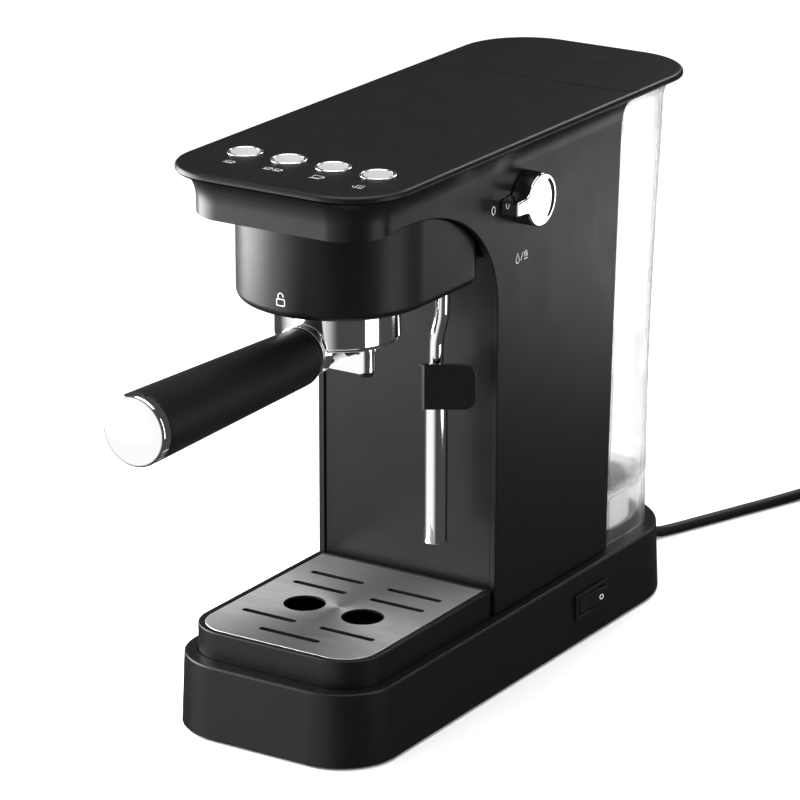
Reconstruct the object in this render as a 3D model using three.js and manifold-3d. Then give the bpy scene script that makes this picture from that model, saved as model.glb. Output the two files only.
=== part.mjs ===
import * as THREE from "three";
import { mergeVertices } from "three/addons/utils/BufferGeometryUtils.js";
import Module from "manifold-3d";

// Slim pump espresso machine with a rear water tank, a portafilter and a steam wand.
// Millimetres, +Z up, the front faces -Y. The origin is on the surface that the machine
// stands on, under the middle of its whole length, portafilter included. The dimensions
// below are measured from the centre of the base, and one group moves them to the origin.

// ---- driving dimensions ----
const GAP = 0.3; // between pieces that touch
const WALL = 2.6; // moulded housings

const BASE = { halfWidth: 63, front: -175.7, rear: 175.7, frontCorner: 32.5, rearCorner: 54 };
const BASE_BOTTOM = 1; // the feet lift it by this
const BASE_TOP = 41.7;
const BASE_DRAFT = 1.6; // each side grows by this towards the bottom
const PLATE_TOP = 4.6; // of the bottom plate
const FOOT_RADIUS = 7;

const TRAY = { halfWidth: 55.9, front: -166.2, rear: -33.4, frontCorner: 23, rearCorner: 3 };
const TRAY_BOTTOM = 30.3;
const TRAY_TOP = 57.2;
const TRAY_RIM = 3.8;
const PLATE_THICKNESS = 1.2;

const COLUMN_HALF = 57.2;
const COLUMN_FRONT = -32.4;
const HOUSING = { halfWidth: COLUMN_HALF, front: -161.8, rear: 130, frontCorner: 24.5, rearCorner: 1 };
const HOUSING_TOP = 304.2;
const BAND_BOTTOM = 281.5; // lowest edge of the upper housing, ahead of the arch
const ARCH = { y: -125, z: 213, a: 92.6, b: 70, power: 2.2 }; // superellipse under the housing
const FLARE_FROM = 289; // the housing spreads to the lid from here up
const FLARE_WIDTH = 9.9;

const LID = { halfWidth: 68.06, front: -171.75, rear: 176.75, frontCorner: 34.5, rearCorner: 41.3 };
const LID_BOTTOM = HOUSING_TOP + GAP;
const LID_TOP = 308;
const SEAM_Y = 90.3; // where the tank's lid begins

const GROUP_Y = -99.35; // axis of the brewing group and the portafilter
const HEAD_RADIUS = 53.1;
const HEAD_BOTTOM = 232.5;
const HEAD_REAR = -40;
const CUP_RADIUS = 33.2;
const CUP_BOTTOM = 209.8;
const CUP_TOP = 243;
const EAR_RADIUS = 37.6;
const HANDLE_Z = 209;
const GRIP_ROOT = { y: -135.5, r: 14.4 };
const GRIP_END = { y: -274.7, r: 18.5 };
const CAP_LENGTH = 7.8;
const SPOUT_HALF_SPACING = 17.3;
const SPOUT_BOTTOM = 193.3;

const WAND = { x: 36.6, y: -55, z: 240 }; // centre of the ball joint
const WAND_LOWER_X = 33;
const WAND_RADIUS = 3.9;
const SLEEVE_RADIUS = 6.3;
const WAND_TIP = 87.5;
const CLIP = { bottom: 164.4, top: 189.7, left: -6.3, right: 21.1, turn: 32.5 }; // finger plate

const KNOB = { y: -5.75, z: 271, r: 14.5, inner: COLUMN_HALF + 0.4, outer: 68 };
const BUTTON_X = [-40.7, -13.6, 13.6, 40.7];
const BUTTON_Y = -123.65;
const SWITCH = { y: 59.5, z: 22.3, halfLength: 17.5, halfHeight: 7.7 };

const TANK_FLOOR = 70;
const TANK_WALL = 2.2;
const TANK_BOTTOM = 43.8;
const TANK_VALVE_Y = 128;

const CORD_RADIUS = 3.2;
const CORD_EXIT = { x: 15, z: 10 };
const RELIEF_END = 197;
const CORD_ROUTE = [[15, 197.5, 10], [15.1, 203, 9.4], [16.3, 211.5, 6], [18.7, 220.5, 3.6],
  [22.2, 229, 3.25], [30.8, 250.9, 3.25], [41.5, 278.9, 3.25], [52.2, 306.9, 3.3], [61.8, 331.9, 3.7],
  [68.9, 350.6, 3.9]];
const COIL = { x: 112.9, y: 358.7, inner: 31.6, outer: 38.2, low: 3.9, high: 10.4 };
const CORD_HEADING = new THREE.Vector3(0.357, 0.934, 0).normalize();
const PLUG = { z: 17.2, radius: 17, length: 24, neck: 18 };

// ---- looks ----
const looks = {
  housing: { color: 0x141414, roughness: 0.42, metalness: 0 },
  softBlack: { color: 0x0c0c0c, roughness: 0.6, metalness: 0 },
  chrome: { color: 0xe6e6e6, roughness: 0.06, metalness: 1 },
  pearl: { color: 0xd2d2d0, roughness: 0.3, metalness: 0.2 },
  steel: { color: 0xb4b4b2, roughness: 0.34, metalness: 1 },
  aluminium: { color: 0xa8a8a8, roughness: 0.5, metalness: 1 },
  brass: { color: 0xb08a42, roughness: 0.35, metalness: 1 },
  rubber: { color: 0x17171a, roughness: 0.85, metalness: 0 },
  silicone: { color: 0xd8d8d4, roughness: 0.6, metalness: 0 },
  clear: { color: 0xf2f5f7, roughness: 0.08, metalness: 0, transparent: true, opacity: 0.35 },
  board: { color: 0x1d4a2c, roughness: 0.6, metalness: 0 },
};

const wasm = await Module();
wasm.setup();
const machine = new THREE.Group();
const pieces = new THREE.Group();
const handleEnd = GRIP_END.y - CAP_LENGTH;
pieces.position.y = -(handleEnd + BASE.rear + BASE_DRAFT) / 2;
machine.add(pieces);

// ---- solids ----

// A three.js geometry as a closed solid that can be joined and cut.
function solid(geometry) {
  const bare = geometry.index ? geometry.toNonIndexed() : geometry.clone();
  bare.deleteAttribute("normal");
  bare.deleteAttribute("uv");
  const merged = mergeVertices(bare, 1e-4);
  const corners = merged.index.array;
  const kept = [];
  for (let i = 0; i < corners.length; i += 3) {
    const [a, b, c] = [corners[i], corners[i + 1], corners[i + 2]];
    if (a !== b && b !== c && c !== a) kept.push(a, b, c);
  }
  return new wasm.Manifold(new wasm.Mesh({
    numProp: 3,
    vertProperties: merged.attributes.position.array,
    triVerts: new Uint32Array(kept),
  }));
}

const join = (first, ...rest) => rest.reduce((all, piece) => all.add(piece), first);
const cut = (first, ...rest) => rest.reduce((all, piece) => all.subtract(piece), first);

function add(name, shape, look) {
  const source = shape.getMesh();
  const geometry = new THREE.BufferGeometry();
  geometry.setAttribute("position", new THREE.BufferAttribute(source.vertProperties, 3));
  geometry.setIndex(new THREE.BufferAttribute(source.triVerts, 1));
  geometry.computeVertexNormals();
  const mesh = new THREE.Mesh(geometry, new THREE.MeshStandardMaterial(looks[look]));
  mesh.name = name;
  pieces.add(mesh);
}

function box(x, y, z) {
  const geometry = new THREE.BoxGeometry(x[1] - x[0], y[1] - y[0], z[1] - z[0]);
  geometry.translate((x[0] + x[1]) / 2, (y[0] + y[1]) / 2, (z[0] + z[1]) / 2);
  return solid(geometry);
}

// Turns a geometry built about +Z to lie along x, y or -y, then moves it.
function place(geometry, along, at) {
  if (along === "x") geometry.rotateY(Math.PI / 2);
  if (along === "y") geometry.rotateX(-Math.PI / 2);
  if (along === "-y") geometry.rotateX(Math.PI / 2);
  geometry.translate(...at);
  return geometry;
}

// A cylinder from the point at, going length along an axis.
function rod(r, length, along, at, sides = 16) {
  const geometry = new THREE.CylinderGeometry(r, r, length, sides);
  geometry.rotateX(Math.PI / 2).translate(0, 0, length / 2);
  return solid(place(geometry, along, at));
}

// A profile of [radius, height] points turned about +Z.
function lathe(profile, sides) {
  const area = profile.reduce((sum, [r, h], i) => {
    const [nextR, nextH] = profile[(i + 1) % profile.length];
    return sum + r * nextH - nextR * h;
  }, 0);
  const points = profile.map(([r, h]) => new THREE.Vector2(r, h));
  if (area < 0) points.reverse();
  return new THREE.LatheGeometry(points, sides).rotateX(Math.PI / 2);
}

// The same about an axis through at.
const turned = (profile, along, at, sides = 20) => solid(place(lathe(profile, sides), along, at));

// A closed ring profile starts and ends at the same point.
const ring = (rIn, rOut, h0, h1) => [[rIn, h0], [rOut, h0], [rOut, h1], [rIn, h1], [rIn, h0]];

// A rounded rectangle seen from above, smaller by inset on every side.
function outline(form, inset = 0) {
  const w = form.halfWidth - inset;
  const [front, rear] = [form.front + inset, form.rear - inset];
  const rf = Math.max(form.frontCorner - inset, 0.5);
  const rr = Math.max(form.rearCorner - inset, 0.5);
  const shape = new THREE.Shape();
  shape.moveTo(-w + rf, front).lineTo(w - rf, front);
  shape.absarc(w - rf, front + rf, rf, -Math.PI / 2, 0).lineTo(w, rear - rr);
  shape.absarc(w - rr, rear - rr, rr, 0, Math.PI / 2).lineTo(-w + rr, rear);
  shape.absarc(-w + rr, rear - rr, rr, Math.PI / 2, Math.PI).lineTo(-w, front + rf);
  shape.absarc(-w + rf, front + rf, rf, Math.PI, Math.PI * 1.5);
  return shape;
}

function prism(shape, z0, z1, curveSegments = 5) {
  const geometry = new THREE.ExtrudeGeometry(shape, { depth: z1 - z0, bevelEnabled: false, curveSegments });
  return solid(geometry.translate(0, 0, z0));
}

// A [y, z] polygon extended from x0 to x1.
function sideways(points, x0, x1) {
  const shape = new THREE.Shape(points.map(([y, z]) => new THREE.Vector2(y, z)));
  const geometry = new THREE.ExtrudeGeometry(shape, { depth: x1 - x0, bevelEnabled: false });
  geometry.rotateX(Math.PI / 2).rotateZ(Math.PI / 2).translate(x0, 0, 0);
  return solid(geometry);
}

// A skin over outlines stacked at rising heights. All have the same number of points.
function stacked(levels, curveSegments = 5) {
  const rings = levels.map(({ shape, z }) => shape.getPoints(curveSegments).map((p) => [p.x, p.y, z]));
  const sharp = rings[0].map((_, i) => i).filter((i) => {
    const [p, q] = [rings[0][i], rings[0][(i + 1) % rings[0].length]];
    return Math.hypot(p[0] - q[0], p[1] - q[1]) > 1e-6;
  });
  const loops = rings.map((points) => sharp.map((i) => points[i]));
  const count = sharp.length;
  const faces = [];
  for (let k = 0; k + 1 < loops.length; k++)
    for (let i = 0; i < count; i++) {
      const j = (i + 1) % count;
      const [a, b, c, d] = [loops[k][i], loops[k][j], loops[k + 1][j], loops[k + 1][i]];
      faces.push(a, b, c, a, c, d);
    }
  const flat = loops[0].map(([x, y]) => new THREE.Vector2(x, y));
  for (const [a, b, c] of THREE.ShapeUtils.triangulateShape(flat, [])) {
    faces.push(loops[0][c], loops[0][b], loops[0][a]);
    const top = loops[loops.length - 1];
    faces.push(top[a], top[b], top[c]);
  }
  const geometry = new THREE.BufferGeometry();
  geometry.setAttribute("position", new THREE.Float32BufferAttribute(faces.flat(), 3));
  return solid(geometry);
}

// A round bar along a smooth curve through points.
function bar(points, r, steps, sides = 8, kind = "catmullrom") {
  const path = new THREE.CatmullRomCurve3(points.map((p) => new THREE.Vector3(...p)), false, kind, 0.5);
  const section = new THREE.Shape();
  for (let i = 0; i < sides; i++) {
    const angle = (i / sides) * Math.PI * 2;
    section[i ? "lineTo" : "moveTo"](r * Math.cos(angle), r * Math.sin(angle));
  }
  return solid(new THREE.ExtrudeGeometry(section, { steps, bevelEnabled: false, extrudePath: path }));
}

// ---- shared outlines ----

// The rear face of the housing leans back towards the top.
const housingRear = (z) => 88.7 + 9.3 * Math.max((z - 43) / 250, 0) ** 1.4;

// Half of the arch under the upper housing, from its front foot to the column.
function archPoints(inset, from, steps = 12) {
  const points = [];
  for (let i = 0; i <= steps; i++) {
    const angle = from + (Math.PI / 2 - from) * (1 - i / steps);
    const bend = (value) => Math.abs(value) ** (2 / ARCH.power);
    const y = ARCH.y + (ARCH.a + inset) * bend(Math.cos(angle));
    points.push([y, ARCH.z + (ARCH.b + inset) * bend(Math.sin(angle))]);
  }
  return points;
}

// Side view of the housing, smaller by inset along its front, arch and rear.
function housingSide(inset, bottom, top) {
  const rear = [];
  for (let i = 0; i <= 6; i++) {
    const z = bottom + ((top - bottom) * i) / 6;
    rear.push([housingRear(z) - inset, z]);
  }
  const front = HOUSING.front - 1 + inset;
  return [...rear, [front, top], [front, BAND_BOTTOM + inset], ...archPoints(inset, 0),
    [COLUMN_FRONT + inset, bottom]];
}

// The seam between the top cover and the tank's lid: straight, with its ends curling back.
function behindSeam(shift) {
  const y = SEAM_Y + shift;
  const shape = new THREE.Shape();
  shape.moveTo(-80, 200).lineTo(-80, y + 12).lineTo(-69, y + 9.5);
  shape.quadraticCurveTo(-61, y, -50, y).lineTo(50, y);
  shape.quadraticCurveTo(61, y, 69, y + 9.5).lineTo(80, y + 12).lineTo(80, 200);
  return shape;
}

// The stadium of the group's cover, smaller by inset.
function headOutline(inset) {
  const [r, corner] = [HEAD_RADIUS - inset, 12 - inset / 2];
  const rear = HEAD_REAR - inset;
  const shape = new THREE.Shape();
  shape.moveTo(r, GROUP_Y).lineTo(r, rear - corner);
  shape.absarc(r - corner, rear - corner, corner, 0, Math.PI / 2).lineTo(-r + corner, rear);
  shape.absarc(-r + corner, rear - corner, corner, Math.PI / 2, Math.PI).lineTo(-r, GROUP_Y);
  shape.absarc(0, GROUP_Y, r, Math.PI, Math.PI * 2);
  return shape;
}

// ---- base ----

function baseShell() {
  const grow = (z) => BASE_DRAFT * (1 - (z - BASE_BOTTOM) / (BASE_TOP - BASE_BOTTOM));
  const levels = [BASE_BOTTOM, BASE_TOP - 1].map((z) => ({ shape: outline(BASE, -grow(z)), z }));
  levels.push({ shape: outline(BASE, 0.9), z: BASE_TOP });
  const hollow = prism(outline(BASE, WALL), -1, BASE_TOP - WALL);
  const wellOutside = prism(outline(TRAY, -2.2), TRAY_BOTTOM - 2.3, BASE_TOP - 1);
  const wellInside = prism(outline(TRAY, -0.4), TRAY_BOTTOM - GAP, BASE_TOP + 1);
  const shell = join(cut(stacked(levels), hollow), wellOutside);
  return cut(
    shell,
    wellInside,
    box([-42, 42], [-24, 78], [30, 50]), // hoses and wires pass here to the column
    rod(8, 10, "z", [0, TANK_VALVE_Y, 35]),
    box([55, 70], [SWITCH.y - 16, SWITCH.y + 16], [SWITCH.z - 6.4, SWITCH.z + 6.4]),
    rod(5.4, 20, "y", [CORD_EXIT.x, 165, CORD_EXIT.z]),
  );
}

function buildBase() {
  add("base_shell", baseShell(), "housing");
  const feet = [[-44, -150], [44, -150], [-40, 140], [40, 140]];
  const recesses = feet.map(([x, y]) => rod(FOOT_RADIUS + GAP, 2.3, "z", [x, y, BASE_BOTTOM - 0.1]));
  const plate = prism(outline(BASE, WALL + GAP), BASE_BOTTOM + 0.1, PLATE_TOP);
  add("base_plate", cut(plate, ...recesses), "softBlack");
  feet.forEach(([x, y], i) => add(`foot_${i + 1}`, rod(FOOT_RADIUS, 2.8, "z", [x, y, 0]), "rubber"));
}

function buildDripTray() {
  const outside = prism(outline(TRAY), TRAY_BOTTOM, TRAY_TOP);
  const seat = prism(outline(TRAY, TRAY_RIM - GAP), TRAY_TOP - 0.2 - PLATE_THICKNESS - GAP, TRAY_TOP + 1);
  const hollow = prism(outline(TRAY, TRAY_RIM + 2.4), TRAY_BOTTOM + 2, TRAY_TOP + 1);
  add("drip_tray", cut(outside, seat, hollow), "housing");

  const top = TRAY_TOP - 0.2;
  const slot = (x, y, length) => {
    const shape = new THREE.Shape();
    const [h, r] = [length / 2 - 1.65, 1.65];
    shape.absarc(x + h, y, r, -Math.PI / 2, Math.PI / 2).absarc(x - h, y, r, Math.PI / 2, Math.PI * 1.5);
    return prism(shape, top - 3, top + 2, 2);
  };
  const slots = [-62.95, -80.35, -129.25].flatMap((y) => [slot(-24.7, y, 34.3), slot(24.7, y, 34.3)]);
  const holes = [-18.5, 18.5].map((x) => rod(11.2, 6, "z", [x, -104.5, top - 3], 18));
  const plate = prism(outline(TRAY, TRAY_RIM), top - PLATE_THICKNESS, top);
  add("drip_plate", cut(plate, ...slots, slot(0, -146.65, 38), ...holes), "steel");
}

// The rocker lies in a framed pocket in the base's right side, its front end pressed in.
function buildSwitch() {
  const face = 65.2;
  const span = (half, middle) => [middle - half, middle + half];
  const flange = box([64.4, face], span(SWITCH.halfLength, SWITCH.y), span(SWITCH.halfHeight, SWITCH.z));
  const body = box([48, 64.6], span(15.6, SWITCH.y), span(6, SWITCH.z));
  const pocket = box([56, 70], span(14, SWITCH.y), span(5.1, SWITCH.z));
  add("switch_housing", cut(join(flange, body), pocket), "softBlack");
  const plan = new THREE.Shape();
  plan.moveTo(60.2, SWITCH.y - 12.6).lineTo(64.9, SWITCH.y - 12.9).lineTo(64.9, SWITCH.y);
  plan.lineTo(67.9, SWITCH.y + 12.3).lineTo(63.2, SWITCH.y + 13).lineTo(58.6, SWITCH.y);
  add("switch_rocker", prism(plan, SWITCH.z - 4.8, SWITCH.z + 4.8), "housing");
}

// ---- housing ----

function bodyShell() {
  const bottom = BASE_TOP + GAP;
  const plan = prism(outline(HOUSING), 0, HOUSING_TOP + 5);
  const upright = sideways(housingSide(0, bottom, HOUSING_TOP), -COLUMN_HALF, COLUMN_HALF).intersect(plan);
  const levels = [0, 0.5, 0.8, 0.95, 1].map((t) => ({
    shape: outline(HOUSING, -FLARE_WIDTH * (1 - Math.sqrt(1 - t * t))),
    z: FLARE_FROM + (HOUSING_TOP - FLARE_FROM) * t,
  }));
  const ahead = [[-200, 270], [housingRear(270), 270], [housingRear(310), 310], [-200, 310]];
  const flare = stacked(levels).intersect(sideways(ahead, -80, 80));
  const inner = HOUSING.halfWidth - WALL;
  const cavity = sideways(housingSide(3, 30, 320), -inner, inner);
  const cavityPlan = prism(outline(HOUSING, WALL), 0, 330);
  const throat = sideways(
    [...archPoints(-2, 0).filter(([y]) => y > -60), [COLUMN_FRONT - 5, 20], [COLUMN_FRONT + 8, 20],
      [COLUMN_FRONT + 8, 250], [-50, 275]],
    -53.5, 53.5,
  );
  const neck = prism(headOutline(WALL + 1.5), BAND_BOTTOM - 60, HOUSING_TOP - 8);
  const valveHole = rod(3.7, 12, "x", [50, KNOB.y, KNOB.z]);
  return cut(join(upright, flare), cavity.intersect(cavityPlan), throat, neck, valveHole);
}

// The column's front panel rises between the side walls and bends forward with the arch.
function frontPanel() {
  const outer = archPoints(1, 0).filter(([y]) => y > -39.6).reverse();
  const inner = archPoints(3.4, 0).filter(([y]) => y > -39.6);
  const bottom = BASE_TOP + GAP;
  return sideways(
    [[COLUMN_FRONT + 1, bottom], ...outer, ...inner, [COLUMN_FRONT + 3.4, bottom]],
    -53.1, 53.1,
  );
}

// A cover shaped like a stadium hangs under the upper housing and hides the brewing group.
function headCover() {
  const levels = [[4.5, 0], [1.3, 1.3], [0, 4.5]].map(([inset, rise]) => ({
    shape: headOutline(inset), z: HEAD_BOTTOM + rise,
  }));
  levels.push({ shape: headOutline(0), z: 290 });
  const under = sideways([...archPoints(-0.6, 0), [COLUMN_FRONT - 0.6, 200], [-200, 200],
    [-200, BAND_BOTTOM - GAP], [ARCH.y - 8, BAND_BOTTOM - GAP]], -60, 60);
  const hollow = prism(headOutline(WALL), HEAD_BOTTOM + WALL, 300);
  const cupHole = rod(36, 10, "z", [0, GROUP_Y, HEAD_BOTTOM - 3], 24);
  const wandHole = box([WAND.x - 4.6, WAND.x + 11], [WAND.y - 4.8, WAND.y + 4.8],
    [HEAD_BOTTOM - 3, HEAD_BOTTOM + 5]);
  return cut(stacked(levels, 7).intersect(under), hollow, cupHole, wandHole);
}

// The whole lid slab, with its edges broken. The seam divides it into cover and tank lid.
function lidSlab() {
  const levels = [[0.8, LID_BOTTOM], [0, LID_TOP - 0.8], [0.8, LID_TOP]];
  return stacked(levels.map(([inset, z]) => ({ shape: outline(LID, inset), z })));
}

function buildHousing() {
  add("body_shell", bodyShell(), "housing");
  add("front_panel", frontPanel(), "housing");
  add("head_cover", headCover(), "housing");
  const rear = prism(behindSeam(-0.25), 280, 330, 5);
  const holes = BUTTON_X.map((x) => rod(8.6, 10, "z", [x, BUTTON_Y, 300]));
  const rings = BUTTON_X.map((x) => rod(10, 3, "z", [x, BUTTON_Y, LID_TOP - 0.9]));
  add("top_cover", cut(lidSlab(), rear, ...holes, ...rings), "housing");
}

function buildButtons() {
  BUTTON_X.forEach((x, i) => {
    const at = [x, BUTTON_Y, 0];
    const bezel = [[8.1, LID_TOP - 2], [8.35, LID_TOP - 2], [8.35, LID_TOP - 0.6], [9.67, LID_TOP - 0.6],
      [9.67, LID_TOP + 0.9], [8.1, LID_TOP + 0.9], [8.1, LID_TOP - 2]];
    add(`button_ring_${i + 1}`, turned(bezel, "z", at, 16), "chrome");
    const cap = [[0, 297.8], [2.2, 297.8], [2.2, 303.2], [7.8, 303.2], [7.8, LID_TOP + 0.6],
      [0, LID_TOP + 0.6]];
    add(`button_${i + 1}`, turned(cap, "z", at, 16), "pearl");
  });
  add("button_board", box([-50, 50], [-134, -112], [293.6, 295.2]), "board");
}

// ---- brewing group ----

function buildGroup() {
  const at = [0, GROUP_Y, 0];
  const block = [[0, 249], [40, 249], [40, 256], [34, 261.6], [0, 261.6]];
  add("group_block", turned(block, "z", at, 24), "aluminium");
  const boiler = [[0, 262], [33, 262], [36, 265], [36, 285], [33, 289], [0, 289]];
  add("thermoblock", turned(boiler, "z", at, 24), "aluminium");

  const lip = 34.1;
  const rim = [[lip, 236.5], [43, 236.5], [43, 248.7], [34.6, 248.7], [34.6, 243.7], [38.2, 243.7],
    [38.2, 239.6], [lip, 239.6], [lip, 236.5]];
  const ways = [0, 1].map((k) => sector(30, 38.2, 30, k * Math.PI, 230, 240));
  add("bayonet_ring", cut(turned(rim, "z", at, 32), ...ways), "aluminium");
  add("group_gasket", turned(ring(28, 34.1, 244.8, 248.6), "z", at, 24), "silicone");
  const screen = [[3, 240], [26, 240], [26, 248.6], [24.8, 248.6], [24.8, 241.2], [3, 241.2], [3, 240]];
  add("shower_screen", turned(screen, "z", at, 20), "steel");
  add("screen_screw", turned([[0, 237.6], [5, 237.6], [5, 239.6], [2.6, 239.6], [2.6, 248.6], [0, 248.6]],
    "z", at, 10), "steel");
}

// A slice of a ring about the group's axis, as wide as half degrees each side of middle.
function sector(r0, r1, half, middle, z0, z1) {
  const angle = (half * Math.PI) / 180;
  const shape = new THREE.Shape();
  shape.absarc(0, 0, r1, middle - angle, middle + angle, false);
  shape.absarc(0, 0, r0, middle + angle, middle - angle, true);
  return prism(shape, z0, z1, 4).translate([0, GROUP_Y, 0]);
}

// Two thin arms leave a post under the cup and thicken into the bosses over the tips.
function spoutArm() {
  const [low, high] = [SPOUT_BOTTOM, CUP_BOTTOM - GAP];
  const plan = new THREE.Shape();
  plan.absarc(17.1, 0, 5.4, -Math.PI / 2, Math.PI / 2).absarc(-17.1, 0, 5.4, Math.PI / 2, Math.PI * 1.5);
  const above = [[6.6, 215], [6.6, 202], [7.6, 200.3], [9.5, 200], [12.5, 201.2], [17, 203.9],
    [22.5, 206.5], [30, 208], [30, 215]];
  const gaps = [-1, 1].map((side) => {
    const shape = new THREE.Shape(above.map(([x, z]) => new THREE.Vector2(side * x, z)));
    const geometry = new THREE.ExtrudeGeometry(shape, { depth: 20, bevelEnabled: false });
    return solid(geometry.rotateX(Math.PI / 2).translate(0, GROUP_Y + 10, 0));
  });
  const drops = [-1, 1].map((k) => rod(2.6, 7, "z", [k * SPOUT_HALF_SPACING, GROUP_Y, low - 1], 8));
  const across = rod(2, 2 * SPOUT_HALF_SPACING, "x", [-SPOUT_HALF_SPACING, GROUP_Y, low + 2.9], 8);
  const post = rod(3.3, 16, "z", [0, GROUP_Y, low + 1.6], 8);
  return cut(prism(plan, low, high).translate([0, GROUP_Y, 0]), ...gaps, ...drops, across, post);
}

function buildPortafilter() {
  const at = [0, GROUP_Y, 0];
  const outside = [[0, CUP_BOTTOM], [29, CUP_BOTTOM], [32, CUP_BOTTOM + 1], [CUP_RADIUS, CUP_BOTTOM + 3.6],
    [CUP_RADIUS, CUP_TOP], [0, CUP_TOP]];
  const inside = [[0, 213.4], [29, 214.5], [30.4, 216], [30.4, CUP_TOP + 1], [0, CUP_TOP + 1]];
  const neckStart = GROUP_Y - 12;
  const neck = rod(12, neckStart + 132.5, "-y", [0, neckStart, HANDLE_Z], 16);
  const tang = rod(4, 28, "-y", [0, -132, HANDLE_Z], 8);
  const ears = [0, 1].map((k) => sector(32, EAR_RADIUS, 26, k * Math.PI, 240, CUP_TOP));
  const cup = cut(join(turned(outside, "z", at, 32), neck, tang, ...ears), turned(inside, "z", at, 24),
    rod(3.5, 10, "z", [0, GROUP_Y, CUP_BOTTOM - 5], 12));
  add("portafilter_cup", cup, "chrome");

  const basket = [[0, 224], [27, 224], [29.6, 227], [29.6, 243.2], [32.6, 243.2], [32.6, 244], [28.8, 244],
    [28.8, 227.4], [26.6, 224.8], [0, 224.8]];
  add("filter_basket", turned(basket, "z", at, 24), "steel");

  add("spout_arm", spoutArm(), "chrome");
  ["left", "right"].forEach((side, i) => {
    const x = (i ? 1 : -1) * SPOUT_HALF_SPACING;
    const tip = ring(2.4, 4.2, SPOUT_BOTTOM - 3, SPOUT_BOTTOM - GAP);
    add(`spout_tip_${side}`, turned(tip, "z", [x, GROUP_Y, 0], 12), "softBlack");
  });

  const along = (profile, sides = 24) => turned(profile, "-y", [0, 0, HANDLE_Z], sides);
  add("handle_ferrule", along(ring(4.4, 14.7, 132.9, 135.2)), "chrome");
  const [root, end] = [-GRIP_ROOT.y, -GRIP_END.y];
  add("handle_grip", along([[4.4, root], [GRIP_ROOT.r - 1.2, root], [GRIP_ROOT.r, root + 1.2],
    [GRIP_END.r, end], [0, end], [0, 162], [4.4, 162], [4.4, root]]), "softBlack");
  const cap = [[0, end + GAP], [GRIP_END.r, end + GAP], [GRIP_END.r, end + 5], [17.2, end + 6.8],
    [14, end + 7.4], [0, end + CAP_LENGTH]];
  add("handle_cap", along(cap), "chrome");
}

// ---- steam wand, valve and knob ----

function buildWand() {
  const ball = new THREE.SphereGeometry(6.5, 12, 8);
  ball.rotateX(Math.PI / 2).translate(WAND.x, WAND.y, WAND.z);
  add("wand_ball", solid(ball), "brass");
  const clear = new THREE.SphereGeometry(7.1, 12, 8);
  clear.rotateX(Math.PI / 2).translate(WAND.x, WAND.y, WAND.z);
  const collar = turned(ring(5, 9.5, 239.5, 249), "z", [WAND.x, WAND.y, 0], 12);
  add("wand_socket", cut(collar, solid(clear)), "brass");

  const top = WAND.z - 6.5 - GAP;
  add("wand_tube", bar([[WAND.x, WAND.y, top], [WAND.x, WAND.y, 218], [WAND.x - 0.3, WAND.y, 214],
    [WAND_LOWER_X + 0.3, WAND.y, 202], [WAND_LOWER_X, WAND.y, 198], [WAND_LOWER_X, WAND.y, 180],
    [WAND_LOWER_X, WAND.y, 100]], WAND_RADIUS, 20, 10), "chrome");
  const bore = WAND_RADIUS + GAP;
  const sleeve = [[1.6, WAND_TIP], [SLEEVE_RADIUS - 0.2, WAND_TIP], [SLEEVE_RADIUS, WAND_TIP + 0.2], [SLEEVE_RADIUS, 172],
    [bore, 172], [bore, 95], [1.6, 95], [1.6, WAND_TIP]];
  add("wand_sleeve", turned(sleeve, "z", [WAND_LOWER_X, WAND.y, 0], 16), "chrome");
  add("wand_grip", wandGrip(), "rubber");
}

// A thin plate in front of the sleeve, held by a ring round it. Its left edge is folded
// forward and its right end is a tab with round corners. Seen here along its own normal.
function wandGrip() {
  const { bottom, top, left, right, turn } = CLIP;
  const r = 6.7;
  const face = new THREE.Shape();
  face.moveTo(left, bottom).lineTo(right - r, bottom);
  face.absarc(right - r, bottom + r, r, -Math.PI / 2, 0).lineTo(right, top - r);
  face.absarc(right - r, top - r, r, 0, Math.PI / 2).lineTo(left, top);
  const plate = new THREE.ExtrudeGeometry(face, { depth: 2, bevelEnabled: false, curveSegments: 4 });
  plate.rotateX(Math.PI / 2).translate(0, -6.5, 0);
  const fold = new THREE.Shape();
  fold.moveTo(left, -6.5).lineTo(left - 2.6, -8).lineTo(left - 1.6, -9.7).lineTo(left, -8.5);
  fold.lineTo(left + 0.5, -7.5);
  const holder = rod(SLEEVE_RADIUS + 2, 15, "z", [0, 0, bottom + 1.6], 16);
  const grip = join(solid(plate), prism(fold, bottom, top), holder);
  const bore = rod(SLEEVE_RADIUS + GAP, top - bottom + 2, "z", [0, 0, bottom - 1], 16);
  return cut(grip, bore).rotate([0, 0, turn]).translate([WAND_LOWER_X, WAND.y, 0]);
}

// Head and lever in one outline, seen along the knob's axis. The lever points to the front.
function knobOutline(inset = 0) {
  const r = KNOB.r - inset;
  const [half, tip] = [4.3 - inset, 25 - inset];
  const from = Math.asin((half + 2.6) / r);
  const shape = new THREE.Shape();
  shape.absarc(0, 0, r, -Math.PI + from, Math.PI - from);
  shape.quadraticCurveTo(-r * Math.cos(from) - 1.6, half + 0.2, -r * Math.cos(from) - 4, half);
  shape.lineTo(-tip + 1, half - 0.4).lineTo(-tip, half - 1.4).lineTo(-tip, -half + 1.4);
  shape.lineTo(-tip + 1, -half + 0.4).lineTo(-r * Math.cos(from) - 4, -half);
  shape.quadraticCurveTo(-r * Math.cos(from) - 1.6, -half - 0.2, -r * Math.cos(from), -half - 2.6);
  return shape;
}

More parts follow.
